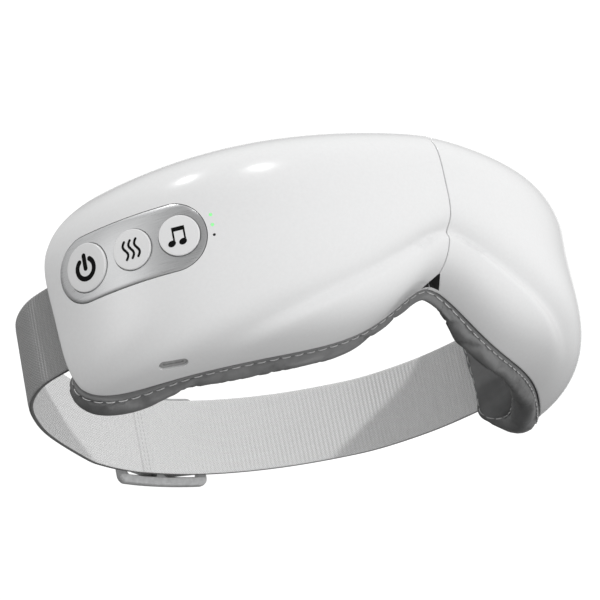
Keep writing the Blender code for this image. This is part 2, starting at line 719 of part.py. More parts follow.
def make_controls(shell, looks):
    curve = wall_curve()
    plate_top = PLATE_PROUD
    plate = finish_object(
        "control_plate",
        wall_slab(
            PLATE_REAR, PLATE_FORE, PLATE_HEIGHT, plate_top - PLATE_THICKNESS, plate_top, curve
        ),
        looks["brushed_plate"],
    )
    gap = CLEARANCE
    pocket = wall_slab(
        PLATE_REAR - gap, PLATE_FORE + gap, PLATE_HEIGHT + 2 * gap, -PLATE_POCKET, 3 * MM, curve
    )
    boolean(shell, finish_object("plate_pocket", pocket, looks["inner_black"]))
    for name, (distance, radius) in BUTTONS.items():
        place = wall_place(distance, curve)
        hole = cylinder_mesh(radius + BUTTON_GAP, -2 * MM, 3 * MM, place, 28)
        boolean(plate, finish_object(name + "_plate_hole", hole, looks["steel"]))
        stem_hole = cylinder_mesh(STEM_RADIUS + gap, -4 * MM, 3 * MM, place)
        boolean(shell, finish_object(name + "_stem_hole", stem_hole, looks["steel"]))
        profile = (
            (STEM_RADIUS * 0.8, STEM_END),
            (STEM_RADIUS, STEM_END + 0.3 * MM),
            (STEM_RADIUS, FLANGE_TOP - 0.6 * MM),
            (FLANGE_RADIUS, FLANGE_TOP - 0.5 * MM),
            (FLANGE_RADIUS, FLANGE_TOP),
            (STEM_RADIUS, FLANGE_TOP + 0.1 * MM),
            (STEM_RADIUS, BUTTON_UNDERSIDE),
            (radius, BUTTON_UNDERSIDE),
            (radius, BUTTON_PROUD - 0.35 * MM),
            (radius - 0.35 * MM, BUTTON_PROUD),
        )
        cap = turned_mesh(profile, place, 24)
        finish_object(name + "_button", cap, looks["button_white"], place.translation.copy())
        switch = cylinder_mesh(SWITCH_RADIUS, SWITCH_FOOT + 0.05 * MM, SWITCH_TOP, place, 16)
        finish_object(name + "_switch", switch, looks["inner_black"])
    make_button_board(curve, looks)
    make_lights(shell, curve, looks)


def make_button_board(curve, looks):
    """The flexible board under the buttons, which follows the wall."""
    top = SWITCH_FOOT - 0.35 * MM
    rear, fore = -4.2 * MM, BUTTONS["music"][0] + 5 * MM
    board = wall_slab(rear, fore, 8.4 * MM, top - BOARD_THICKNESS, top, curve)
    finish_object("button_board", board, looks["board_green"])


def make_lights(shell, curve, looks):
    """Two green lights and a microphone hole in a column beside the plate."""
    names = ("upper_light", "lower_light", "microphone")
    for i, name in enumerate(names):
        height = LIGHT_MIDDLE_Z + (1 - i) * LIGHT_PITCH - PLATE_Z
        place = wall_place(LIGHT_DISTANCE, curve, height)
        radius = LIGHT_RADIUS if i < 2 else 0.7 * LIGHT_RADIUS
        hole = cylinder_mesh(radius + 0.1 * MM, -4 * MM, 2 * MM, place, 16)
        boolean(shell, finish_object(name + "_hole", hole, looks["steel"]))
        look = looks["green_light"] if i < 2 else looks["dark_dot"]
        top = 0.0 if i < 2 else -0.4 * MM
        finish_object(name, cylinder_mesh(radius, -3.6 * MM, top, place, 16), look)


def inlet_place():
    """On the underside at the charge inlet, with Z pointing out of the shell."""
    start = Vector((INLET_X, INLET_Y, -20 * MM))
    hit = surface_hit(start, Vector((0, 0, -1)))
    normal = surface_normal(hit)
    along = Vector((0.8, 0.6, 0))
    sideways = normal.cross(along).normalized()
    return frame_along(Vector((-hit.x, hit.y, hit.z)), Vector((-normal.x, normal.y, normal.z)),
                       Vector((-sideways.x, sideways.y, sideways.z)))


def make_inlet(shell, frame, looks):
    """The charge inlet: a slot through the underside and a metal socket behind it."""
    place = inlet_place()

    def slot(grow, low, high):
        outline = stadium(
            -INLET_WIDTH / 2 - grow, INLET_WIDTH / 2 + grow, INLET_HEIGHT + 2 * grow, 20
        )
        return prism_mesh(outline, lambda a, b, c: place @ Vector((a, b, c)), low, high)

    opening = finish_object("inlet_opening", slot(CLEARANCE, -5 * MM, 3 * MM), looks["steel"])
    boolean(shell, opening)
    socket = finish_object("charge_inlet", slot(0, -INLET_DEPTH, -0.5 * MM), looks["steel"])
    mouth = finish_object("inlet_mouth", slot(-0.4 * MM, -INLET_DEPTH + 1 * MM, 1 * MM), looks["steel"])
    boolean(socket, mouth)
    boolean(frame, finish_object("inlet_notch", slot(1 * MM, -12 * MM, 0), looks["steel"]))


# ---------------------------------------------------------------- parts inside


def cavity_place(side, x, z, bias=0.5):
    """Between shell and frame at (x, z): X along the cavity, Y across it to the back, Z up."""
    def middle(at):
        return front_y(at, z) * (1 - bias) + rim_y(at, z) * bias

    slope = (middle(x + 1 * MM) - middle(x - 1 * MM)) / (2 * MM)
    along = Vector((side, slope, 0)).normalized()
    across = Vector((-side * slope, 1, 0)).normalized()
    rotation = Matrix((along, across, Vector((0, 0, 1)))).transposed().to_4x4()
    return Matrix.Translation((side * x, middle(x), z)) @ rotation


def make_block(name, side, x, z, size, look, bias=0.5):
    block = finish_object(name, box_mesh(size, cavity_place(side, x, z, bias)), look, smooth=False)
    bevelled(block, 0.8 * MM)
    return block


def make_motor(side, looks):
    """A vibration motor with an eccentric weight on its upright shaft."""
    name = side_name(side)
    place = Matrix.Translation(cavity_place(side, 27 * MM, 24 * MM).translation)
    profile = ((4.0 * MM, -12 * MM), (4.0 * MM, 0), (0.6 * MM, 0.05 * MM), (0.6 * MM, 4.2 * MM))
    finish_object(name + "_motor", turned_mesh(profile, place, 20), looks["steel"])
    outline = [Vector((3.6 * MM * math.cos(t), 3.6 * MM * math.sin(t)))
               for t in [math.pi * i / 10 for i in range(11)]]
    outline += [Vector((-1.2 * MM, -1.2 * MM)), Vector((1.2 * MM, -1.2 * MM))]
    weight = prism_mesh(outline, lambda a, b, c: place @ Vector((a, b, c)), 0.6 * MM, 3.8 * MM)
    origin = place.translation.copy()
    weight = finish_object(name + "_motor_weight", weight, looks["inner_black"], origin, False)
    bore = cylinder_mesh(0.68 * MM, -1 * MM, 6 * MM, place, 20)
    boolean(weight, finish_object(name + "_weight_bore", bore, looks["steel"]))


def make_speaker(side, looks):
    """A small round speaker near the ear, facing the head."""
    place = cavity_place(side, 88 * MM, 12 * MM, 0.42)
    turned = place @ Matrix.Rotation(math.radians(-90), 4, "X")
    profile = ((4.4 * MM, -1.6 * MM), (6.5 * MM, -0.6 * MM), (6.5 * MM, 1.4 * MM))
    finish_object(side_name(side) + "_speaker", turned_mesh(profile, turned, 24), looks["inner_black"])


def make_insides(looks):
    make_block("main_board", RIGHT, 60 * MM, 4 * MM, (34 * MM, 1.2 * MM, 30 * MM), looks["board_green"], 0.5)
    make_block("battery", LEFT, 60 * MM, 9 * MM, (36 * MM, 7 * MM, 24 * MM), looks["battery_wrap"], 0.5)
    make_block("air_pump", LEFT, 73 * MM, -20 * MM, (21 * MM, 9 * MM, 13 * MM), looks["inner_black"], 0.45)
    make_block("air_valve", LEFT, 52 * MM, -21 * MM, (12 * MM, 7 * MM, 9 * MM), looks["frame_grey"], 0.45)
    for side in (RIGHT, LEFT):
        make_motor(side, looks)
        make_speaker(side, looks)


# ---------------------------------------------------------------- strap


def strap_arc(first_deg, last_deg, steps, radius=STRAP_ARC_RADIUS):
    """Points of the strap's round stretch behind the head."""
    turns = [math.radians(first_deg + (last_deg - first_deg) * i / steps) for i in range(steps + 1)]
    return [STRAP_ARC_CENTRE + radius * Vector((math.cos(t), math.sin(t), 0)) for t in turns]


def smooth_curve(points, per_span=5):
    """A Catmull-Rom curve through points."""
    padded = [points[0] * 2 - points[1], *points, points[-1] * 2 - points[-2]]
    out = []
    for a, b, c, d in zip(padded, padded[1:], padded[2:], padded[3:]):
        for i in range(per_span):
            t = i / per_span
            out.append(
                0.5 * (2 * b + (c - a) * t + (2 * a - 5 * b + 4 * c - d) * t**2
                       + (3 * b - a - 3 * c + d) * t**3)
            )
    return out + [points[-1]]


def strap_side(side):
    """The strap's middle line from inside a temple to where its round stretch begins."""
    if side == RIGHT:
        places = ((-102.2, 56), (-101.5, 72), (-94, 89.5), (-80, 106.3), (-62, 122.3))
    else:
        places = ((102.2, 56), (103.2, 76), (101, 98), (93.5, 119))
    end = Vector((side * STRAP_END_X, STRAP_END_Y, 0))
    return [end] + [Vector((x * MM, y * MM, 0)) for x, y in places]


def band_mesh(line, width, thickness, middle_z):
    """A band that stands upright on a plane curve."""
    edges = ([], [])
    for i, point in enumerate(line):
        before, after = line[max(i - 1, 0)], line[min(i + 1, len(line) - 1)]
        ahead = (after - before).normalized()
        out = Vector((-ahead.y, ahead.x, 0)) * thickness / 2
        edges[0].append(point + out)
        edges[1].append(point - out)
    low, high = middle_z - width / 2, middle_z + width / 2
    rings = []
    for a, b in zip(*edges):
        corners = ((a, low), (b, low), (b, high), (a, high))
        rings.append([Vector((p.x, p.y, z)) for p, z in corners])
    bm = ring_mesh(rings)
    bmesh.ops.holes_fill(bm, edges=[e for e in bm.edges if e.is_boundary])
    return bm


def make_straps(looks):
    """Two lengths of elastic that meet at a sewn seam in front of the buckle."""
    join_gap_deg = math.degrees(CLEARANCE / 2 / STRAP_ARC_RADIUS)
    right = strap_side(RIGHT) + strap_arc(122, STRAP_JOIN_DEG + join_gap_deg, 3)
    left = strap_side(LEFT) + strap_arc(46, STRAP_JOIN_DEG - join_gap_deg, 5)
    for side, points in ((RIGHT, right), (LEFT, left)):
        bm = band_mesh(smooth_curve(points, 4), STRAP_WIDTH, STRAP_THICKNESS, STRAP_Z)
        finish_object(side_name(side) + "_strap", bm, looks["strap_elastic"])


def make_buckle(looks):
    """The slider on the outside of the strap: a curved frame with a middle bar and two slots."""
    radius = STRAP_ARC_RADIUS + STRAP_THICKNESS / 2 + CLEARANCE + BUCKLE_THICKNESS / 2
    half_deg = math.degrees(BUCKLE_WIDTH / 2 / radius)
    line = strap_arc(BUCKLE_MIDDLE_DEG - half_deg, BUCKLE_MIDDLE_DEG + half_deg, 10, radius)
    bm = band_mesh(line, BUCKLE_HEIGHT, BUCKLE_THICKNESS, STRAP_Z)
    origin = STRAP_ARC_CENTRE.copy()
    buckle = finish_object("strap_buckle", bm, looks["buckle_grey"], origin)
    slot_width = (BUCKLE_WIDTH - 3 * BUCKLE_BAR) / 2
    slot_height = BUCKLE_HEIGHT - 2 * BUCKLE_RAIL
    for i, sign in enumerate((-1, 1)):
        shift = sign * (slot_width + BUCKLE_BAR) / 2
        turn = math.radians(BUCKLE_MIDDLE_DEG) + shift / radius
        out = Vector((math.cos(turn), math.sin(turn), 0))
        place = frame_along(STRAP_ARC_CENTRE + out * radius + Vector((0, 0, STRAP_Z)), out)
        slot = box_mesh((slot_width, slot_height, 3 * BUCKLE_THICKNESS), place)
        boolean(buckle, finish_object(f"buckle_slot_{i}", slot, looks["steel"], smooth=False))
    return buckle


def clamp_place(side):
    """On the head side of a strap end, with X pointing out through the shell wall."""
    x = STRAP_END_X - STRAP_THICKNESS / 2 - CLEARANCE - CLAMP_THICKNESS / 2
    return Matrix.Translation((side * x, STRAP_END_Y + CLAMP_LENGTH / 2, STRAP_Z))


def make_clamps(shells, looks):
    """The bar that holds each end of the strap against the shell wall, with its two screws."""
    for side in (RIGHT, LEFT):
        name = side_name(side)
        place = clamp_place(side)
        size = (CLAMP_THICKNESS, CLAMP_LENGTH, CLAMP_HEIGHT)
        clamp = finish_object(name + "_strap_clamp", box_mesh(size, place), looks["inner_black"])
        for i, sign in enumerate((-1, 1)):
            height = sign * (CLAMP_HEIGHT / 2 - 2.6 * MM)
            screw_place = frame_along(
                place @ Vector((-side * CLAMP_THICKNESS / 2, 0, height)), Vector((-side, 0, 0))
            )
            profile = (
                (0.7 * MM, -5.6 * MM), (0.7 * MM, 0.1 * MM), (1.4 * MM, 0.1 * MM), (1.4 * MM, 0.7 * MM)
            )
            screw = f"{name}_clamp_screw_{i + 1}"
            finish_object(screw, turned_mesh(profile, screw_place, 16), looks["steel"])
            for owner, label in ((clamp, "clamp"), (shells[side], "shell")):
                hole = cylinder_mesh(0.85 * MM, -5.9 * MM, 2 * MM, screw_place, 16)
                boolean(owner, finish_object(f"{screw}_{label}_hole", hole, looks["steel"]))


# ---------------------------------------------------------------- the whole mask


def main():
    clear_scene()
    looks = make_looks()
    outline = half_outline()
    shells, frames = {}, {}
    for side in (RIGHT, LEFT):
        shells[side] = make_shell(side, looks)
        frames[side] = make_frame(side, outline, looks)
        make_end_cap(side, looks)
        make_pad(side, outline, looks)
        make_eye_stack(side, looks)
    make_hinge(frames, looks)
    make_nose_web(looks)
    make_controls(shells[RIGHT], looks)
    make_inlet(shells[RIGHT], frames[RIGHT], looks)
    make_insides(looks)
    make_straps(looks)
    make_buckle(looks)
    make_clamps(shells, looks)


main()
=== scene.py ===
import math

import bmesh
import bpy
import numpy as np
from mathutils import Matrix, Vector
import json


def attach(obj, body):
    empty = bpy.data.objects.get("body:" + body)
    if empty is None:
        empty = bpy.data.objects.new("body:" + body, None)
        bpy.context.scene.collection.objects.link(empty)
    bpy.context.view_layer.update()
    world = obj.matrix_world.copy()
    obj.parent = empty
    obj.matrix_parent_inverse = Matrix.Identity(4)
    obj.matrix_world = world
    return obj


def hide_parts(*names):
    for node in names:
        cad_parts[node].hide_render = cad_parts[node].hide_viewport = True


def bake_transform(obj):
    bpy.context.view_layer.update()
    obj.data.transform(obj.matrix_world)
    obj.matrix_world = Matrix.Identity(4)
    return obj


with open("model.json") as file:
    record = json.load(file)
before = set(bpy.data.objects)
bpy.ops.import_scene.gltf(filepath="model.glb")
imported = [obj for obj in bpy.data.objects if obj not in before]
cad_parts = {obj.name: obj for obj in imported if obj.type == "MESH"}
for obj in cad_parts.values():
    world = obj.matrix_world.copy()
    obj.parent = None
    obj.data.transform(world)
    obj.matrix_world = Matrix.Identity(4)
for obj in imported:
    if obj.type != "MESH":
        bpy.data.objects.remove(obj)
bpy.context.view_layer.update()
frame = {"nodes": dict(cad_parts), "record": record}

# Lengths are millimetres until a mesh is made.
MM = 0.001
RIGHT, LEFT = -1, 1

# ---------------- outer surface of the mask

HALF_WIDTH, SHELL_DEPTH, WIDEST_Y, PLAN_POWER = 105.0, 94.8, 66.0, 2.48
TOP_HEIGHT, TOP_FALL, TOP_EDGE_POWER = 40.1, 0.185, 4.58
BOTTOM_HEIGHT, BOTTOM_DROP, BOTTOM_DROP_POWER = 41.9, 0.412, 5.35
BODY_ARCH, LIP_ARCH = (28.4, 35.0, 1.54), (20.3, 23.4, 1.65)
BODY_EDGE_POWER, LIP_EDGE_POWER, LIP_SETBACK, LIP_BLEND, LIP_FILL = 3.78, 3.89, 2.7, 0.03, 0.017
CREASE_BLEND, CREASE_DEPTH, CREASE_WIDTH = 0.006, 0.015, (0.018, 0.0105)
CREASE_FADE_X, CREASE_FADE_Z = (62, 98), (0, 14)
RIM_AT_SEAM_Y, RIM_SWEEP, RIM_SWEEP_MORE = -11.7, 55.7, 7.0
RIM_TILT, RIM_BOW, RIM_REFERENCE_HEIGHT = 4.85, 2.0, 45.0
WALL, SEAM_GAP = 2.2, 0.2
SHELL_POLE = np.array((46.0, 2.0, 9.0))


def unit(v):
    v = np.asarray(v, float)
    return v / np.maximum(np.linalg.norm(v, axis=-1, keepdims=True), 1e-12)


def smooth_step(low, high, value):
    t = np.clip((value - low) / (high - low), 0, 1)
    return t * t * (3 - 2 * t)


def bun(p, arch, edge_power, setback):
    """Below 0 inside one rounded body of the mask and above 0 outside it."""
    x, y, z = np.abs(p[..., 0]), p[..., 1], p[..., 2]
    rise, reach, power = arch
    share = np.minimum(x / HALF_WIDTH, 1)
    top = TOP_HEIGHT * (1 - TOP_FALL * share**2)
    bottom = -BOTTOM_HEIGHT * (1 + BOTTOM_DROP * share**BOTTOM_DROP_POWER)
    bottom = bottom + rise * np.exp(-((x / reach) ** power))
    across = (x / HALF_WIDTH) ** PLAN_POWER
    across = across + (np.abs(y - WIDEST_Y) / (SHELL_DEPTH - setback)) ** PLAN_POWER
    across = across ** (1 / PLAN_POWER)
    up = (2 * z - top - bottom) / (top - bottom)
    edge = np.where(up > 0, TOP_EDGE_POWER, edge_power)
    return (across**edge + np.abs(up) ** edge) ** (1 / edge) - 1


def shell_value(p):
    """Below 0 inside the outer surface: body and lip melted together, creased where they meet."""
    body = bun(p, BODY_ARCH, BODY_EDGE_POWER, 0)
    lip = bun(p, LIP_ARCH, LIP_EDGE_POWER, LIP_SETBACK)
    past = lip - body
    low = 1 - smooth_step(*CREASE_FADE_X, np.abs(p[..., 0]))
    low = low * (1 - smooth_step(*CREASE_FADE_Z, p[..., 2]))
    blend = LIP_BLEND + (CREASE_BLEND - LIP_BLEND) * low
    mix = np.clip(0.5 + 0.5 * past / blend, 0, 1)
    crease = CREASE_DEPTH * low * np.exp(-((past / np.where(past > 0, *CREASE_WIDTH)) ** 2))
    return lip * (1 - mix) + body * mix - blend * mix * (1 - mix) - LIP_FILL + crease


def rim_y(x, z):
    out, up = np.abs(x) / HALF_WIDTH, z / RIM_REFERENCE_HEIGHT
    sweep = RIM_SWEEP * out**2 + RIM_SWEEP_MORE * out**4
    return RIM_AT_SEAM_Y + sweep + RIM_TILT * out**2 * up + RIM_BOW * up**2


def rim_normal(x, z):
    step = 0.1
    across = (rim_y(x + step, z) - rim_y(x - step, z)) / (2 * step)
    upward = (rim_y(x, z + step) - rim_y(x, z - step)) / (2 * step)
    return unit(np.stack((-across, np.ones_like(across), -upward), axis=-1))


def on_rim(flat, height):
    """Places on the rim surface at (x, z), raised towards the head."""
    x, z = flat[..., 0], flat[..., 1]
    base = np.stack((x, rim_y(x, z), z), axis=-1)
    return base + rim_normal(x, z) * np.asarray(height)[..., None]


def crossing(beyond, far, rounds=34):
    """The distance from 0 to far, for each of many rays, at which beyond becomes true."""
    near = np.zeros_like(far)
    far = far.copy()
    for _ in range(rounds):
        middle = (near + far) / 2
        past = beyond(middle)
        far = np.where(past, middle, far)
        near = np.where(past, near, middle)
    return (near + far) / 2


def surface_hit(start, directions, limit=160.0):
    far = np.full(directions.shape[:-1], limit)
    reach = crossing(lambda t: shell_value(start + directions * t[..., None]) > 0, far)
    return start + directions * reach[..., None]


def surface_normal(p):
    slopes = []
    for axis in range(3):
        step = np.zeros(3)
        step[axis] = 0.05
        slopes.append(shell_value(p + step) - shell_value(p - step))
    return unit(np.stack(slopes, axis=-1))


def rim_corner_z(sign):
    def beyond(z):
        x = np.full_like(z, SEAM_GAP)
        return shell_value(np.stack((x, rim_y(x, sign * z), sign * z), axis=-1)) > 0

    return sign * float(crossing(beyond, np.array([60.0]))[0])


# ---------------- meshes


def add_mesh(name, points, faces, look, smooth=True, sharp_deg=None):
    """A mesh object from points in millimetres."""
    mesh = bpy.data.meshes.new(name)
    mesh.from_pydata((np.asarray(points, float) * MM).tolist(), [], faces)
    mesh.validate()
    obj = bpy.data.objects.new(name, mesh)
    bpy.context.scene.collection.objects.link(obj)
    if look is not None:
        mesh.materials.append(look)
    if smooth:
        mesh.shade_smooth()
    if sharp_deg is not None:
        mesh.set_sharp_from_angle(angle=math.radians(sharp_deg))
    return obj


def outward(obj):
    """Turns the faces of a closed mesh outwards."""
    bm = bmesh.new()
    bm.from_mesh(obj.data)
    bmesh.ops.recalc_face_normals(bm, faces=bm.faces)
    bm.to_mesh(obj.data)
    bm.free()
    return obj


def loft_faces(rows, columns, close_rows=False, close_columns=True, first=0):
    """Quads between rows of points that are stored one row after another."""
    faces = []
    for i in range(rows if close_rows else rows - 1):
        a, b = first + i * columns, first + (i + 1) % rows * columns
        for j in range(columns if close_columns else columns - 1):
            k = (j + 1) % columns
            faces.append((a + j, a + k, b + k, b + j))
    return faces


def lofted(name, rings, look, start=None, end=None, close_rows=False, sharp_deg=None):
    """A skin over closed rings of points, with a fan or a flat face at each open end."""
    rings = np.asarray(rings, float)
    rows, columns = rings.shape[:2]
    points = list(rings.reshape(-1, 3))
    faces = loft_faces(rows, columns, close_rows)
    for tip, row in ((start, 0), (end, rows - 1)):
        if close_rows:
            continue
        loop = [row * columns + j for j in range(columns)]
        if tip is None:
            faces.append(tuple(loop if row else loop[::-1]))
        else:
            points.append(np.asarray(tip, float))
            for j in range(columns):
                pair = (loop[j], loop[(j + 1) % columns])
                faces.append((len(points) - 1, *(pair if row else pair[::-1])))
    return outward(add_mesh(name, points, faces, look, sharp_deg=sharp_deg))


def mirrored(side, p):
    p = np.array(p, float)
    p[..., 0] *= side
    return p


def boolean(obj, cutter, operation="DIFFERENCE"):
    change = obj.modifiers.new(cutter.name, "BOOLEAN")
    change.operation, change.object, change.solver = operation, cutter, "EXACT"
    apply_modifiers(obj)
    bpy.data.objects.remove(cutter)


def apply_modifiers(obj):
    graph = bpy.context.evaluated_depsgraph_get()
    mesh = bpy.data.meshes.new_from_object(obj.evaluated_get(graph))
    obj.modifiers.clear()
    obj.data = mesh


def placed(local, origin, right, up, out):
    """Points given along right, up and out from an origin."""
    local = np.asarray(local, float)
    return origin + local[..., :1] * right + local[..., 1:2] * up + local[..., 2:3] * out


def turned(name, profile, place, look, segments=96, sharp_deg=None):
    """A lathed piece: profile of (radius, height) from the middle of one end to the other's."""
    turns = np.linspace(0, 2 * np.pi, segments, endpoint=False)
    rings = []
    for radius, height in profile[1:-1]:
        round_trip = (radius * np.cos(turns), radius * np.sin(turns), turns * 0 + height)
        ring = np.stack(round_trip, axis=-1)
        rings.append(placed(ring, *place))
    ends = [placed(np.array((0, 0, profile[k][1])), *place) for k in (0, -1)]
    return lofted(name, rings, look, ends[0], ends[1], sharp_deg=sharp_deg)


def rounded_profile(points, radius, steps=5):
    """A profile whose inner corners are rounded."""
    points = [np.array(p, float) for p in points]
    out = [points[0]]
    for before, corner, after in zip(points, points[1:], points[2:]):
        a, b = before - corner, after - corner
        reach = min(radius, np.linalg.norm(a) * 0.45, np.linalg.norm(b) * 0.45)
        a, b = corner + unit(a) * reach, corner + unit(b) * reach
        for t in np.linspace(0, 1, steps):
            out.append(a * (1 - t) ** 2 + corner * 2 * t * (1 - t) + b * t * t)
    return out + [points[-1]]


def travelled(points):
    """How far along a line each of its points is."""
    return np.concatenate(([0], np.cumsum(np.linalg.norm(np.diff(points, axis=0), axis=1))))


def resampled(points, count, closed=False):
    points = np.asarray(points, float)
    if closed:
        points = np.vstack((points, points[:1]))
    along = travelled(points)
    at = np.linspace(0, along[-1], count + 1 if closed else count)
    out = np.stack([np.interp(at, along, points[:, k]) for k in range(points.shape[1])], axis=1)
    return out[:-1] if closed else out


def smooth_line(points, step=0.5):
    """A Catmull-Rom curve through the points, with even steps."""
    p = np.asarray(points, float)
    p = np.vstack((2 * p[0] - p[1], p, 2 * p[-1] - p[-2]))
    t = np.linspace(0, 1, 24, endpoint=False)[:, None]
    spans = []
    for a, b, c, d in zip(p, p[1:], p[2:], p[3:]):
        square, cube = 2 * a - 5 * b + 4 * c - d, 3 * b - a - 3 * c + d
        spans.append(0.5 * (2 * b + (c - a) * t + square * t**2 + cube * t**3))
    line = np.vstack([*spans, p[-2:-1]])
    length = np.linalg.norm(np.diff(line, axis=0), axis=1).sum()
    return resampled(line, max(int(length / step), 2))


# ---------------- materials


LOOKS = {}


class Look:
    """A node material being built, kept in LOOKS under its name."""

    def __init__(self, name, colour, roughness, metallic=0.0, **more):
        self.material = LOOKS[name] = bpy.data.materials.new(name)
        self.material.use_nodes = True
        self.nodes, self.links = self.material.node_tree.nodes, self.material.node_tree.links
        self.shader = self.nodes["Principled BSDF"]
        self.set("Base Color", (*colour, 1))
        self.set("Roughness", roughness)
        self.set("Metallic", metallic)
        for key, value in more.items():
            self.set(key.replace("_", " "), value)

    def set(self, socket, value):
        self.shader.inputs[socket].default_value = value

    def node(self, kind, settings=None, **inputs):
        node = self.nodes.new(kind)
        for key, value in (settings or {}).items():
            setattr(node, key, value)
        for key, value in inputs.items():
            by_index = key[0] == "i" and key[1:].isdigit()
            socket = node.inputs[int(key[1:]) if by_index else key.replace("_", " ")]
            if isinstance(value, bpy.types.NodeSocket):
                self.links.new(value, socket)
            else:
                socket.default_value = value
        return node

    def place(self, scale=(1, 1, 1), source="Object"):
        where = self.node("ShaderNodeTexCoord").outputs[source]
        mapping = self.node("ShaderNodeMapping", None, Vector=where)
        mapping.inputs["Scale"].default_value = scale
        return mapping.outputs[0]

    def noise(self, vector, scale, detail=3.0, roughness=0.5):
        inputs = {"Vector": vector, "Scale": scale, "Detail": detail, "Roughness": roughness}
        return self.node("ShaderNodeTexNoise", None, **inputs).outputs[0]

    def math(self, operation, a, b=0.0):
        return self.node("ShaderNodeMath", {"operation": operation}, i0=a, i1=b).outputs[0]

    def ramp(self, value, low, high, colour_low, colour_high):
        share = self.spread(value, low, high, 0.0, 1.0)
        mix = self.node("ShaderNodeMix", {"data_type": "RGBA"}, i0=share)
        for index, colour in ((6, colour_low), (7, colour_high)):
            mix.inputs[index].default_value = (*colour, 1)
        return mix.outputs[2]

    def spread(self, value, low, high, to_low, to_high):
        node = self.node("ShaderNodeMapRange", None, Value=value)
        keys = ("From Min", "From Max", "To Min", "To Max")
        for key, number in zip(keys, (low, high, to_low, to_high)):
            node.inputs[key].default_value = number
        return node.outputs[0]

    def bump(self, height, distance_mm, strength=1.0):
        inputs = {"Height": height, "Distance": distance_mm * MM, "Strength": strength}
        return self.node("ShaderNodeBump", None, **inputs).outputs[0]

    def wire(self, socket, output):
        self.links.new(output, self.shader.inputs[socket])


def grey(value, tint=0.0):
    return (value - tint, value, value + tint)


WEAVE_PITCH = (0.85, 0.95)  # along and across the strap


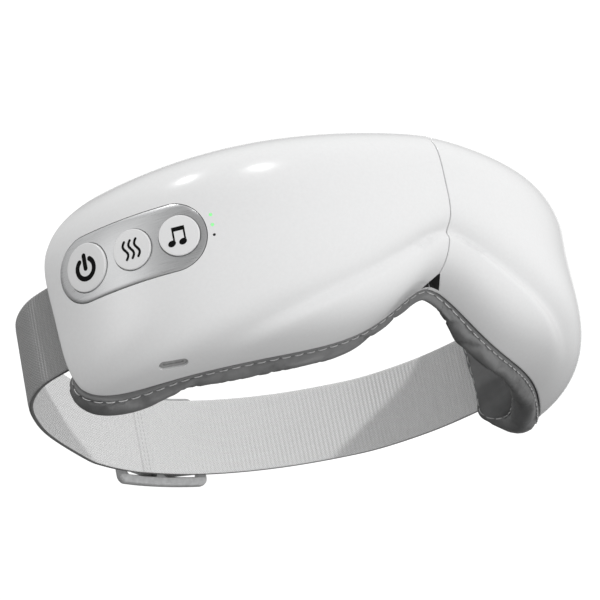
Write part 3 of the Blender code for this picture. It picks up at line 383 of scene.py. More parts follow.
def make_looks():
    """Every finish: the record's material slots, and threads, ink, webbing and socket."""
    shell = Look("gloss_white", grey(0.80, 0.002), 0.2, Coat_Weight=0.6, Coat_Roughness=0.04)
    speck = shell.noise(shell.place(), 900.0, 2.0)
    shell.wire("Base Color", shell.ramp(speck, 0.3, 0.7, grey(0.79, 0.002), grey(0.81, 0.002)))
    peel = shell.noise(shell.place(), 260.0, 1.0)
    shell.wire("Roughness", shell.spread(peel, 0.3, 0.7, 0.19, 0.23))
    shell.wire("Normal", shell.bump(peel, 0.004))

    leather = Look("grey_leather", grey(0.18, 0.001), 0.46, Specular_IOR_Level=0.5)
    where = leather.place()
    feature = {"feature": "DISTANCE_TO_EDGE"}
    cells = leather.node("ShaderNodeTexVoronoi", feature, Vector=where, Scale=1050.0).outputs[0]
    wide = leather.noise(where, 90.0, 4.0)
    pores, folds = leather.math("MULTIPLY", cells, 1.4), leather.math("MULTIPLY", wide, 0.5)
    grain = leather.math("ADD", pores, folds)
    low, high = grey(0.155, 0.001), grey(0.205, 0.001)
    leather.wire("Base Color", leather.ramp(wide, 0.3, 0.72, low, high))
    leather.wire("Roughness", leather.spread(cells, 0.0, 0.3, 0.56, 0.42))
    leather.wire("Normal", leather.bump(grain, 0.06, 0.8))

    cup = Look("cup_fabric", grey(0.055), 0.75, Sheen_Weight=0.15, Sheen_Roughness=0.5)
    where = cup.place((1100, 1100, 1100))
    xyz = cup.node("ShaderNodeSeparateXYZ", None, Vector=where).outputs
    waves = [cup.math("SINE", cup.math("MULTIPLY", xyz[k], 3.0)) for k in (0, 2)]
    knit = cup.math("MULTIPLY", waves[0], waves[1])
    cup.wire("Base Color", cup.ramp(knit, -1.0, 1.0, grey(0.04), grey(0.07)))
    cup.wire("Normal", cup.bump(knit, 0.12, 0.8))

    thread = Look("thread", grey(0.55), 0.6)
    twist = thread.noise(thread.place((2500, 2500, 2500)), 1.0, 2.0)
    thread.wire("Base Color", thread.ramp(twist, 0.3, 0.7, grey(0.45), grey(0.62)))
    thread.wire("Normal", thread.bump(twist, 0.05))

    dark = Look("dark_thread", grey(0.16), 0.7)
    twist = dark.noise(dark.place((2500, 2500, 2500)), 1.0, 2.0)
    dark.wire("Base Color", dark.ramp(twist, 0.3, 0.7, grey(0.12), grey(0.2)))

    for name, low, high in (("strap_elastic", 0.55, 0.84), ("strap_outer", 0.30, 0.47)):
        strap = Look(name, grey(high), 0.85, Sheen_Weight=0.1, Sheen_Roughness=0.5)
        uv = strap.node("ShaderNodeSeparateXYZ", None, Vector=strap.place((1, 1, 1), "UV"))
        along, across = [
            strap.math("SINE", strap.math("MULTIPLY", uv.outputs[k], 2 * math.pi / pitch))
            for k, pitch in enumerate(WEAVE_PITCH)
        ]
        weave = strap.math("MULTIPLY", along, across)
        fuzz = strap.noise(strap.place((1, 1, 1), "UV"), 1.6, 3.0)
        mixed = strap.math("ADD", strap.math("MULTIPLY", weave, 0.5), fuzz)
        strap.wire("Base Color", strap.ramp(mixed, 0.0, 1.0, grey(low), grey(high)))
        strap.wire("Normal", strap.bump(mixed, 0.12, 0.9))

    plate = Look("brushed_plate", grey(0.62, 0.004), 0.3, 1.0, Anisotropic=0.55)
    brush = plate.noise(plate.place((0.12, 9.0, 1.0), "UV"), 1.0, 4.0, 0.7)
    plate.wire("Roughness", plate.spread(brush, 0.3, 0.7, 0.24, 0.42))
    plate.wire("Base Color", plate.ramp(brush, 0.3, 0.7, grey(0.5, 0.004), grey(0.68, 0.004)))
    plate.wire("Normal", plate.bump(brush, 0.012, 0.6))

    button = Look("button_white", grey(0.80, 0.002), 0.32, Coat_Weight=0.3, Coat_Roughness=0.1)
    fine = button.noise(button.place(), 1400.0, 2.0)
    button.wire("Roughness", button.spread(fine, 0.3, 0.7, 0.28, 0.38))
    button.wire("Normal", button.bump(fine, 0.01))

    for name, colour, roughness, metallic, scale, bump_mm in (
        ("icon_black", grey(0.004), 0.75, 0.0, 900.0, 0.004),
        ("inner_black", grey(0.02), 0.5, 0.0, 700.0, 0.02),
        ("frame_grey", grey(0.28), 0.55, 0.0, 700.0, 0.02),
        ("buckle_grey", grey(0.42, 0.003), 0.38, 0.0, 500.0, 0.015),
        ("steel", grey(0.6), 0.28, 1.0, 500.0, 0.004),
        ("board_green", (0.02, 0.16, 0.07), 0.4, 0.0, 300.0, 0.02),
        ("battery_wrap", (0.10, 0.16, 0.3), 0.35, 0.0, 200.0, 0.03),
        ("airbag_film", (0.5, 0.5, 0.47), 0.3, 0.0, 150.0, 0.08),
        ("heater_film", (0.35, 0.17, 0.05), 0.3, 0.0, 250.0, 0.03),
        ("dark_dot", grey(0.02), 0.35, 0.0, 700.0, 0.01),
        ("socket_grey", grey(0.34), 0.5, 0.0, 700.0, 0.01),
        ("strap_edge", grey(0.16), 0.85, 0.0, 900.0, 0.05),
    ):
        look = Look(name, colour, roughness, metallic)
        spots = look.noise(look.place(), scale, 3.0)
        low, high = [tuple(min(c * k, 1) for c in colour) for k in (0.88, 1.12)]
        look.wire("Base Color", look.ramp(spots, 0.3, 0.7, low, high))
        rough = (roughness * 0.85, min(roughness * 1.15, 1))
        look.wire("Roughness", look.spread(spots, 0.3, 0.7, *rough))
        look.wire("Normal", look.bump(spots, bump_mm))
        if name == "icon_black":
            look.set("Specular IOR Level", 0.1)

    light = Look("green_light", (0.2, 0.6, 0.25), 0.3, Emission_Strength=0.55)
    light.set("Emission Color", (0.3, 1.0, 0.32, 1))
    core = light.noise(light.place(), 800.0, 1.0)
    light.wire("Base Color", light.ramp(core, 0.3, 0.7, (0.17, 0.55, 0.2), (0.23, 0.65, 0.28)))


make_looks()


def finish_cad_nodes():
    """Every CAD node that still shows takes the detailed finish of its material slot."""
    slots = {part["node"]: part["material_slot"] for part in frame["record"]["subparts"]}
    for name, obj in frame["nodes"].items():
        for index in range(max(len(obj.material_slots), 1)):
            if index < len(obj.material_slots):
                obj.material_slots[index].material = LOOKS[slots[name]]
            else:
                obj.data.materials.append(LOOKS[slots[name]])


def settle(obj, body, slot, *replaced):
    """The piece moves with a body and stands for CAD nodes, which it hides; its slot argument is
    not used.
    """
    if body is not None:
        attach(obj, body)
    if replaced:
        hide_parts(*replaced)
    return obj


def side_name(side):
    return "right" if side == RIGHT else "left"


# ---------------- shells

SEAM_SPOKES, RIM_SPOKES, OUTER_RINGS, INNER_RINGS, RING_POWER = 90, 330, 150, 26, 0.92
RIM_ROUND, SEAM_ROUND, INNER_ROUND, CORNER_FADE = 0.95, 0.28, 0.3, 5.0
SHELL_SHARP_DEG = 38
NOTCH_WIDE, NOTCH_TALL, NOTCH_BELOW, NOTCH_TIP, NOTCH_FRONT = 3.4, 3.1, 2.0, 0.25, -34.0


def spoke_hits(tilts, angles):
    """Where rays from the pole meet the surface, tilted away from straight ahead."""
    flat = np.sin(tilts)
    directions = np.stack((flat * np.cos(angles), -np.cos(tilts), flat * np.sin(angles)), axis=-1)
    return surface_hit(SHELL_POLE, directions)


def last_tilts(angles):
    def beyond(tilts):
        p = spoke_hits(tilts, angles)
        return (p[..., 1] > rim_y(p[..., 0], p[..., 2])) | (p[..., 0] < SEAM_GAP)

    return crossing(beyond, np.full(angles.shape, math.radians(170)), 26)


def even_angles():
    """Directions round a half, evenly spaced along its seam and then along its rim."""
    corners = [
        math.atan2(rim_corner_z(sign) - SHELL_POLE[2], SEAM_GAP - SHELL_POLE[0]) % (2 * math.pi)
        for sign in (1, -1)
    ]
    angles = []
    for first, last, count in (
        (corners[0], corners[1], SEAM_SPOKES),
        (corners[1], corners[0] + 2 * math.pi, RIM_SPOKES),
    ):
        rough = np.linspace(first, last, 500)
        edge = spoke_hits(last_tilts(rough), rough)
        along = travelled(edge)
        at = np.linspace(0, along[-1], count, endpoint=False)
        angles.append(np.interp(at, along, rough))
    return np.concatenate(angles)


def shell_rows():
    """Rings of the left shell, from the outer pole over the edge to the inner pole."""
    angles = even_angles()
    last = last_tilts(angles)
    edge = spoke_hits(last, angles)
    near = spoke_hits(last - 0.01, angles)
    pace = np.linalg.norm(edge - near, axis=1) / 0.01
    at_seam = edge[:, 0] < SEAM_GAP + 0.02
    corners = [np.linalg.norm(edge - edge[k], axis=1) for k in (0, SEAM_SPOKES)]
    away = np.clip(np.min(corners, axis=0) / CORNER_FADE, 0, 1)
    radius = np.where(at_seam, SEAM_ROUND, SEAM_ROUND + (RIM_ROUND - SEAM_ROUND) * away)
    stop = last - radius / pace
    shares = np.arange(1, OUTER_RINGS + 1) / OUTER_RINGS
    rows = [spoke_hits(stop * share**RING_POWER, angles) for share in shares]
    start = rows[-1]
    inward = -surface_normal(edge)
    inward[at_seam, 0] = 0
    rim = ~at_seam | (edge[:, 1] > rim_y(edge[:, 0], edge[:, 2]) - 0.05)
    back = rim_normal(edge[:, 0], edge[:, 2])
    flat = inward - back * (inward * back).sum(axis=1, keepdims=True)
    inward = unit(np.where(rim[:, None], flat, inward))
    after = edge + inward * radius[:, None]
    weight = 0.75
    for t in (0.17, 0.34, 0.5, 0.66, 0.83, 1.0):
        a, b, c = (1 - t) ** 2, 2 * t * (1 - t) * weight, t * t
        rows.append((start * a + edge * b + after * c) / (a + b + c))
    inner_edge = edge + inward * WALL
    rows.append(edge + inward * (WALL - INNER_ROUND))
    for k in range(INNER_RINGS, 0, -1):
        share = k / INNER_RINGS
        outer = spoke_hits(stop * share**RING_POWER, angles)
        inner = outer - surface_normal(outer) * WALL
        if k == INNER_RINGS:
            rows.append(inner_edge * 0.35 + inner * 0.65)
        else:
            rows.append(inner)
    pole = surface_hit(SHELL_POLE, np.array((0.0, -1.0, 0.0)))
    return np.array(rows), pole, pole - surface_normal(pole) * WALL


SHELL_ROWS = shell_rows()


def make_shell(side):
    rows, outer_pole, inner_pole = SHELL_ROWS
    name = side_name(side) + "_shell_skin"
    tips = [mirrored(side, pole) for pole in (outer_pole, inner_pole)]
    return lofted(name, mirrored(side, rows), LOOKS["gloss_white"], *tips)


def cut_notch(shell):
    """The small wedge cut at the lower end of the seam, where the shells' corners part; its cut
    walls are painted black as shade.
    """
    foot = rim_corner_z(-1)
    front, back = NOTCH_FRONT, float(rim_y(0.0, foot)) - 1.4
    wide = NOTCH_WIDE * (1 + NOTCH_BELOW / NOTCH_TALL)
    low, high = foot - NOTCH_BELOW, foot + NOTCH_TALL
    profile = [(-wide, low), (wide, low), (NOTCH_TIP, high), (-NOTCH_TIP, high)]
    rings = [[(x, y, z) for x, z in profile] for y in (front, back)]
    # Painted shade: the notch's cut walls in the white shell take the black inner finish, standing
    # for the shadowed gap.
    shell.data.materials.append(LOOKS["inner_black"])
    cutter = lofted("seam_notch", rings, None)
    sides = cutter.data.polygons
    sides.foreach_set("material_index", np.ones(len(sides), np.int32))
    boolean(shell, cutter)


# ---------------- wall under the controls

PLATE_Z, POWER_Y = 0.3, 34.3
PLATE_REAR, PLATE_FORE, PLATE_HEIGHT, SLAB_STEPS = -12.1, 43.2, 22.6, 64
# Each button's distance forward of the power button, and its radius.
BUTTONS = {"power": (0.0, 8.1), "heat": (18.0, 6.75), "music": (34.3, 6.75)}
BUTTON_GAP, CAP_PROUD, CAP_CROWN = 0.28, 0.75, 0.12
LIGHTS_AHEAD, LIGHTS_UP, LIGHTS_APART = 45.3, 1.6, 3.4
UP = np.array((0.0, 0.0, 1.0))
WALL_POLE = np.array((30.0, 52.0, PLATE_Z))


def wall_line():
    """The wall of the wearer's right half at the plate's height, as a line from back to front."""
    turns = np.radians(-1 - 0.05 * np.arange(1441))
    directions = np.stack((np.cos(turns), np.sin(turns), turns * 0), axis=-1)
    points = surface_hit(WALL_POLE, directions)
    along = travelled(points)
    start = along[np.argmin(np.abs(points[:, 1] - POWER_Y))]
    return points, along - start


WALL_LINE, WALL_ALONG = wall_line()


def wall_points(distance, height, lift):
    """Places over the wall: forward of the power button, up from the plate's middle, and out."""
    given = [np.asarray(v, float) for v in (distance, height, lift)]
    distance, height, lift = np.broadcast_arrays(*given)

    def at(d):
        return np.stack([np.interp(d, WALL_ALONG, WALL_LINE[:, k]) for k in range(3)], axis=-1)

    base = at(distance)
    ahead = unit(at(distance + 0.4) - at(distance - 0.4))
    out = np.stack((-ahead[..., 1], ahead[..., 0], ahead[..., 0] * 0), axis=-1)
    out = out * np.sign((out * (base - WALL_POLE)).sum(axis=-1, keepdims=True))
    start = base - out * 6
    start[..., 2] += height
    hit = surface_hit(start, out, 60.0) + out * lift[..., None]
    return mirrored(RIGHT, hit), mirrored(RIGHT, out)


def wall_place(distance, height=0.0):
    """An origin on the wall and its right, up and out directions, seen from outside."""
    hit, out = wall_points(distance, height, 0.0)
    right = unit(np.cross(-out, UP))
    return hit, right, UP, out


def stadium(rear, fore, height, count):
    radius = height / 2
    turns = np.linspace(-np.pi / 2, np.pi / 2, count // 2)
    ends = []
    for centre, flip in ((fore - radius, 1), (rear + radius, -1)):
        x, z = centre + flip * radius * np.cos(turns), flip * radius * np.sin(turns)
        ends.append(np.stack((x, z), axis=-1))
    straight = np.linspace(0, 1, 40)[1:-1, None]
    top = ends[0][-1] * (1 - straight) + ends[1][0] * straight
    bottom = ends[1][-1] * (1 - straight) + ends[0][0] * straight
    return np.vstack((ends[0], top, ends[1], bottom))


def wall_slab(name, look, grow, levels):
    """A stadium slab on the wall, from (inset, lift) pairs: its middle, over the edge and back."""
    rings = []
    for inset, lift in levels:
        by = grow - inset
        outline = stadium(PLATE_REAR - by, PLATE_FORE + by, PLATE_HEIGHT + 2 * by, SLAB_STEPS)
        rings.append(wall_points(outline[:, 0], outline[:, 1], lift)[0])
    count = len(rings[0])
    faces = loft_faces(len(rings), count)
    near_tip = SLAB_STEPS // 4 - 1
    for first in (0, (len(rings) - 1) * count):
        for k in range(count // 2 - 1):
            pair = (near_tip - k, near_tip + 1 + k, near_tip + 2 + k, near_tip - 1 - k)
            faces.append(tuple(first + i % count for i in pair))
    return outward(add_mesh(name, np.vstack(rings), faces, look, sharp_deg=40))


def plate_levels(top, bottom, bevel):
    full = PLATE_HEIGHT / 2 - 0.4
    insets = [full, 9, 7, 5, 3, 1.4, bevel]
    levels = [(i, top) for i in insets] + [(bevel * 0.3, top - bevel * 0.3), (0, top - bevel)]
    return levels + [(0, bottom)] + [(i, bottom) for i in (1.4, 5, 9, full)]


def cylinder(name, radius, low, high, place, segments=72):
    profile = [(0, low), (radius, low), (radius, high), (0, high)]
    return turned(name, profile, place, None, segments)


def flat_strip(points, width, place, low, high, name, look, rounded=True):
    """A raised line of even width along a path of (right, up) points."""
    points = np.asarray(points, float)
    ahead = unit(np.gradient(points, axis=0))
    aside = np.stack((-ahead[:, 1], ahead[:, 0]), axis=-1)
    left, right = points + aside * width / 2, points - aside * width / 2
    def cap(k, sign):
        start = math.atan2(*(aside[k] * sign)[::-1])
        turns = start - np.linspace(0, math.pi, 13)[1:-1]
        return points[k] + width / 2 * np.column_stack((np.cos(turns), np.sin(turns)))

    ends = (cap(-1, 1), cap(0, -1)) if rounded else ((), ())
    outline = [*left, *ends[0], *right[::-1], *ends[1]]
    return flat_shape(outline, place, low, high, name, look)


def flat_shape(outline, place, low, high, name, look):
    outline = np.asarray(outline, float)
    rings = []
    for height in (low, high):
        level = np.column_stack((outline, np.full(len(outline), height)))
        rings.append(placed(level, *place))
    return lofted(name, rings, look, sharp_deg=30)


def joined(name, *objs):
    """One object from several."""
    bm = bmesh.new()
    for obj in objs:
        bm.from_mesh(obj.data)
    first = objs[0]
    bm.to_mesh(first.data)
    bm.free()
    for obj in objs[1:]:
        bpy.data.objects.remove(obj)
    first.name = name
    return first


def make_controls(shell):
    """The plate in its pocket in the shell's wall, with the buttons and lights."""
    pocket = wall_slab("pocket", None, 0.22, plate_levels(3.0, -1.6, 0.05))
    boolean(shell, pocket)
    levels = plate_levels(0.1, -0.75, 0.22)
    plate = wall_slab("control_plate_skin", LOOKS["brushed_plate"], 0.0, levels)
    for name, (distance, radius) in BUTTONS.items():
        hole = cylinder(name + "_hole", radius + BUTTON_GAP, -3.0, 3.0, wall_place(distance))
        boolean(plate, hole)
    plate.data.shade_smooth()
    plate.data.set_sharp_from_angle(angle=math.radians(32))
    wall_uv(plate)
    settle(plate, "right_half", "brushed_plate", "control_plate")
    for name, (distance, radius) in BUTTONS.items():
        make_button(name, radius, wall_place(distance))
    make_lights(shell)


def wall_uv(obj):
    """Texture places along and up the wall, in millimetres."""
    co = np.array([v.co for v in obj.data.vertices]) / MM
    flat = np.column_stack((-co[:, 0], co[:, 1]))
    order = np.argmin(((flat[:, None] - WALL_LINE[None, ::8, :2]) ** 2).sum(axis=2), axis=1)
    along = WALL_ALONG[::8][order]
    layer = obj.data.uv_layers.new(name="UVMap")
    index = np.array([loop.vertex_index for loop in obj.data.loops])
    uv = np.column_stack((along, co[:, 2]))[index]
    layer.data.foreach_set("uv", uv.astype(np.float32).ravel())


def make_button(name, radius, place):
    """A slightly crowned cap with its icon raised a hair over it."""
    top = CAP_PROUD + CAP_CROWN
    profile = [(0, -0.35), (radius, -0.35), (radius, 0.62), (radius - 0.3, CAP_PROUD)]
    profile += [(radius * k, CAP_PROUD + CAP_CROWN * (1 - k * k)) for k in (0.75, 0.5, 0.25)]
    profile = rounded_profile([*profile, (0, top)], 0.22)
    cap = turned(name + "_cap", profile, place, LOOKS["button_white"], 128)
    settle(cap, name + "_button", "button_white", name + "_button")
    draw = {"power": power_mark, "heat": heat_mark, "music": music_mark}[name]
    mark = joined(name + "_mark", *draw(place, top - 0.25, top + 0.03))
    settle(mark, name + "_button", "button_white")


def power_mark(place, low, high):
    turns = np.radians(np.linspace(90 + 38, 450 - 38, 80))
    arc = np.column_stack((3.45 * np.cos(turns), 3.45 * np.sin(turns) - 0.35))
    bar = np.array([(0, y) for y in np.linspace(-0.35, 4.0, 12)])
    ink = LOOKS["icon_black"]
    return [
        flat_strip(line, 1.62, place, low, high, "power_" + part, ink)
        for part, line in (("arc", arc), ("bar", bar))
    ]


def heat_mark(place, low, high):
    t = np.linspace(0, 1, 50)
    waves = []
    for k, shift in enumerate((-2.1, 0.0, 2.1)):
        path = np.column_stack((shift - 0.72 * np.sin(2 * np.pi * t), 3.0 - 6.0 * t))
        name = f"heat_wave_{k}"
        waves.append(flat_strip(path, 0.82, place, low, high, name, LOOKS["icon_black"]))
    return waves


def music_mark(place, low, high):
    ink = LOOKS["icon_black"]
    turns = np.linspace(0, 2 * np.pi, 40, endpoint=False)
    parts = []
    for k, x in enumerate((-1.9, 1.75)):
        lean = math.radians(20)
        a, b = 1.32 * np.cos(turns), 1.02 * np.sin(turns)
        head = np.column_stack((
            x - 0.75 + a * math.cos(lean) - b * math.sin(lean),
            -2.35 + a * math.sin(lean) + b * math.cos(lean),
        ))
        parts.append(flat_shape(head, place, low, high, f"note_head_{k}", ink))
        stem = np.array([(x + 0.1, y) for y in np.linspace(-2.2, 2.3, 10)])
        parts.append(flat_strip(stem, 0.6, place, low, high - 0.004, f"note_stem_{k}", ink, False))
    beam = np.array([(-2.1, 1.5), (2.15, 1.5), (2.15, 2.9), (-2.1, 2.9)])
    parts.append(flat_shape(beam, place, low, high - 0.008, "note_beam", ink))
    return parts


def make_lights(shell):
    for i, name in enumerate(("upper_light", "lower_light", "microphone")):
        place = wall_place(LIGHTS_AHEAD, LIGHTS_UP + (1 - i) * LIGHTS_APART - PLATE_Z)
        radius, top, slot = (0.5, 0.02, "green_light") if i < 2 else (0.42, -0.35, "dark_dot")
        boolean(shell, cylinder(name + "_hole", radius + 0.06, -4.0, 2.0, place, 40))
        profile = [(0, -3.4), (radius, -3.4), (radius, top - 0.1), (radius * 0.7, top)]
        profile = rounded_profile([*profile, (0, top + 0.05)], 0.1, 3)
        dot = turned(name + "_lens", profile, place, LOOKS[slot], 40)
        settle(dot, "right_half", slot, name)


# ---------------- charge inlet
INLET_SIZE = (9.3, 3.5)


def inlet_place():
    hit = surface_hit(np.array((89.5, 18.6, -20.0)), np.array((0.0, 0.0, -1.0)))
    out = surface_normal(hit)
    along = unit(np.array((0.8, 0.6, 0.0)) - out * np.dot((0.8, 0.6, 0.0), out))
    aside = np.cross(out, along)
    return [mirrored(RIGHT, v) for v in (hit, along, aside, out)]


def slot_ring(width, height, depth, place):
    radius = height / 2
    turns = np.linspace(-np.pi / 2, np.pi / 2, 24)
    half = np.column_stack((width / 2 - radius + radius * np.cos(turns), radius * np.sin(turns)))
    outline = np.vstack((half, -half))
    return placed(np.column_stack((outline, np.full(len(outline), depth))), *place)


def make_inlet(shell):
    """A shallow grey charging recess with a lined slot at its floor."""
    place = inlet_place()

    def rings(levels):
        return [slot_ring(INLET_SIZE[0] + g, INLET_SIZE[1] + g, d, place) for g, d in levels]

    levels = [(0, -6.0), (0, -0.75), (0.1, -0.3), (0.35, 0.05), (0.8, 2.0)]
    boolean(shell, lofted("inlet_cut", rings(levels), None))
    levels = [(-0.06, -6.8), (-0.06, -0.85), (-0.3, -0.75), (-2.4, -0.75), (-2.5, -0.85)]
    levels += [(-2.5, -1.15), (-3.0, -1.2)]
    socket = lofted("charge_socket", rings(levels), LOOKS["socket_grey"], sharp_deg=40)
    settle(socket, "right_half", "steel", "charge_inlet")


# ---------------- leather side

EYE = np.array((37.0, -1.0))
EYE_HALF = np.array((24.0, 15.5))
BRIDGE_X, HINGE_Y = 8.0, -10.3
EYE_DEPTH = 8.5  # the panel's least height scale beside an eye opening
OUTLINE_STEPS, BRIDGE_STEPS = 300, 26
STRAP_Z, STRAP_WIDTH, STRAP_THICKNESS = -12.0, 30.0, 1.8

# Leather cross-section at the outer edge: (inset from the rim's outline, share of the height).
BAND = (
    (2.6, -0.04), (2.0, 0.03), (0.9, 0.04), (0.3, 0.055), (-0.1, 0.08), (-0.4, 0.105),
    (-0.5, 0.13), (-0.4, 0.155), (-0.3, 0.175), (-0.8, 0.20), (-1.6, 0.26), (-2.3, 0.34),
    (-2.7, 0.44), (-2.8, 0.54), (-2.6, 0.64), (-2.0, 0.75), (-1.0, 0.85), (0.3, 0.92),
    (1.7, 0.96), (3.0, 0.965), (4.0, 0.95), (4.7, 0.91), (5.1, 0.86),
)
BAND_STITCH, TOP_STITCH = (-0.5, 0.125), (4.3, 0.945)


def rim_outline():
    """The left half's rim from behind: from the nose arch's middle round the temple to the top."""
    turns = np.radians(np.linspace(-180, 180, 1441))[:-1]
    across, upward = np.cos(turns), np.sin(turns)

    def beyond(t):
        x, z = EYE[0] + t * across, EYE[1] + t * upward
        p = np.stack((x, rim_y(x, z), z), axis=-1)
        return (x < 0) | (shell_value(p) > 0)

    reach = crossing(beyond, np.full(turns.shape, 110.0))
    points = EYE + np.column_stack((across, upward)) * reach[:, None]
    points = points[points[:, 0] > 0.02]
    start = np.argmin(np.where(points[:, 1] < 0, points[:, 0], 1e9))
    points = np.roll(points, -start, axis=0)
    steps = np.linalg.norm(np.diff(points, axis=0), axis=1)
    points = points[: np.argmax(steps) + 1] if steps.max() > 20 else points
    lift = on_rim(points, np.zeros(len(points)))
    fine = resampled(lift, 900)
    return fine[:, [0, 2]]


def strap_gap(points):
    """How much further in the leather's edge is, where the strap passes it at the temple."""
    x, z = points[:, 0], points[:, 1]
    low, high = STRAP_Z - STRAP_WIDTH / 2, STRAP_Z + STRAP_WIDTH / 2
    window = smooth_step(low - 3.5, low - 0.5, z) * (1 - smooth_step(high + 0.5, high + 5, z))
    corner = smooth_step(78, 97, x) * (1 - smooth_step(-37, -31, z))
    hidden = 3.2 * smooth_step(-32, -18, z) * smooth_step(14, 40, x)
    return np.maximum(8.0 * window * smooth_step(86, 96, x), hidden) - 1.4 * corner


def inset(points, by):
    """The open outline moved in by a distance, measured along the rim surface."""
    ahead = unit(np.gradient(points, axis=0))
    inward = np.column_stack((-ahead[:, 1], ahead[:, 0]))
    x, z = points[:, 0], points[:, 1]
    slope = (rim_y(x + 0.2, z) - rim_y(x - 0.2, z)) / 0.4
    shorter = 1 / np.sqrt(1 + (slope * inward[:, 0]) ** 2)
    return points + inward * (np.asarray(by) * shorter)[:, None]


def smoothed(values, rounds):
    values = np.array(values, float)
    for _ in range(rounds):
        values[1:-1] = (values[:-2] + 2 * values[1:-1] + values[2:]) / 4
    return values


OUTLINE = rim_outline()
NOSE_HEIGHT, CHEEK_HEIGHT, TEMPLE_HEIGHT = 5.0, 9.5, 20.5


def crest(flat):
    """Height of the cushion over the rim: low at the nose and the eye, thick at the temple."""
    x, z = np.abs(flat[..., 0]), flat[..., 1]
    low = NOSE_HEIGHT + (CHEEK_HEIGHT - NOSE_HEIGHT) * smooth_step(6, 24, x)
    temple = smooth_step(84, 104, x) * smooth_step(-46, -32, z) * (1 - 0.5 * smooth_step(0, 28, z))
    return low + (TEMPLE_HEIGHT - CHEEK_HEIGHT) * temple


def band_height(line, share):
    """Height of a row of the outer band: the thick temple adds to its upper rows only."""
    full = crest(line)
    low = np.minimum(full, CHEEK_HEIGHT)
    return share * low + (full - low) * smooth_step(0.15, 0.95, share)


def outline_part(bridge):
    """The outline of the pad, or of the bridge's lower and upper edges, with even steps."""
    inside = OUTLINE[:, 0] >= BRIDGE_X
    first, last = np.argmax(inside), len(inside) - np.argmax(inside[::-1])

    def at_bridge(a, b):
        t = (BRIDGE_X - a[0]) / (b[0] - a[0])
        return a + (b - a) * t

    start = at_bridge(OUTLINE[first - 1], OUTLINE[first])
    end = at_bridge(OUTLINE[last - 1], OUTLINE[last])
    if not bridge:
        line = np.vstack((start, OUTLINE[first:last], end))
        lifted = resampled(on_rim(line, np.zeros(len(line))), OUTLINE_STEPS)
        return lifted[:, [0, 2]]
    lower = np.vstack(((0, OUTLINE[0, 1]), OUTLINE[:first], start))
    upper = np.vstack((end, OUTLINE[last:], (0, OUTLINE[-1, 1])))[::-1]
    return lower, upper


def band_rings(line, extra):
    rings = []
    for by, share in BAND:
        flat = inset(line, by + extra)
        flat[:, 0] = np.where(np.arange(len(line)) % (len(line) - 1) == 0, line[:, 0], flat[:, 0])
        rings.append(on_rim(flat, band_height(line, share)))
    return rings


def eye_edge(toward, grow=0.0):
    turn = np.arctan2(toward[:, 1] - EYE[1], toward[:, 0] - EYE[0])
    return EYE + (EYE_HALF + grow) * np.column_stack((np.cos(turn), np.sin(turn)))


# Inner panel: (share of the way from the top stitches to the eye opening, share of the height).
PANEL = (
    (0.04, 0.80), (0.09, 0.75), (0.16, 0.70), (0.24, 0.64), (0.31, 0.57), (0.36, 0.51),
    (0.40, 0.52), (0.48, 0.52), (0.58, 0.50), (0.70, 0.50), (0.80, 0.51), (0.88, 0.51),
    (0.94, 0.50), (0.98, 0.47), (1.0, 0.43),
)


def make_pad(side):
    """The cushion of one half: a stitched roll and a panel that slopes into the eye hollow."""
    line = outline_part(False)
    extra = smoothed(strap_gap(line), 12)
    rings = band_rings(line, extra)
    top = rings[-1]
    corner_a, corner_b = top[-1], top[0]
    t = np.linspace(0, 1, BRIDGE_STEPS)[1:-1, None]
    down = corner_a[2] + (corner_b[2] - corner_a[2]) * t[:, 0]
    middle_flat = np.column_stack((np.full(len(t), BRIDGE_X), down))
    closing = on_rim(middle_flat, BAND[-1][1] * crest(middle_flat))
    base_closing = on_rim(middle_flat, BAND[0][1] * crest(middle_flat))
    boundary = np.vstack((top, closing))
    flat = boundary[:, [0, 2]]
    toward = eye_edge(flat)
    count, steps = len(boundary), len(line)
    points = list(np.array(rings[:-1]).reshape(-1, 3))
    first_boundary = len(points)
    points += list(boundary)
    faces = []
    for i in range(len(rings) - 1):
        a, b = i * steps, (i + 1) * steps
        faces += [(a + j, a + j + 1, b + j + 1, b + j) for j in range(steps - 1)]
    for share, height in PANEL:
        spot = flat + (toward - flat) * share
        lift = height * np.maximum(crest(spot), EYE_DEPTH * smooth_step(0, 1, share))
        points += list(on_rim(spot, lift))
    skirt = (4.4, 2.2, -1.0)
    for height in skirt:
        points += list(on_rim(toward, height * np.ones(count)))
    rows = len(PANEL) + len(skirt)
    faces += loft_faces(rows + 1, count, first=first_boundary)
    last = first_boundary + rows * count
    base = len(points)
    points += list(base_closing)
    loop = [*range(steps), *range(base, base + len(t))]
    faces += [
        (loop[j], last + j, last + (j + 1) % count, loop[(j + 1) % count]) for j in range(count)
    ]
    ends = [i * steps + steps - 1 for i in range(len(rings) - 1)] + [first_boundary + steps - 1]
    starts = [i * steps for i in range(len(rings) - 1)] + [first_boundary]
    cut = ends + [first_boundary + steps + j for j in range(len(t))] + starts[::-1]
    cut += [base + j for j in range(len(t))][::-1]
    faces.append(tuple(cut))
    name = side_name(side) + "_pad_leather"
    obj = outward(add_mesh(name, mirrored(side, points), faces, LOOKS["grey_leather"]))
    held = [*range(5 * steps), *loop, *cut, *range(last - 2 * count, last + count)]
    held += [*range(7 * steps, 9 * steps), *range(first_boundary, first_boundary + count)]
    held += range(first_boundary + 6 * count, first_boundary + 7 * count)
    return obj, sorted({int(i) for i in held})


CLOTH_FRAMES, PRESSURE, PUFF_MM = 18, 4.0, 1.1


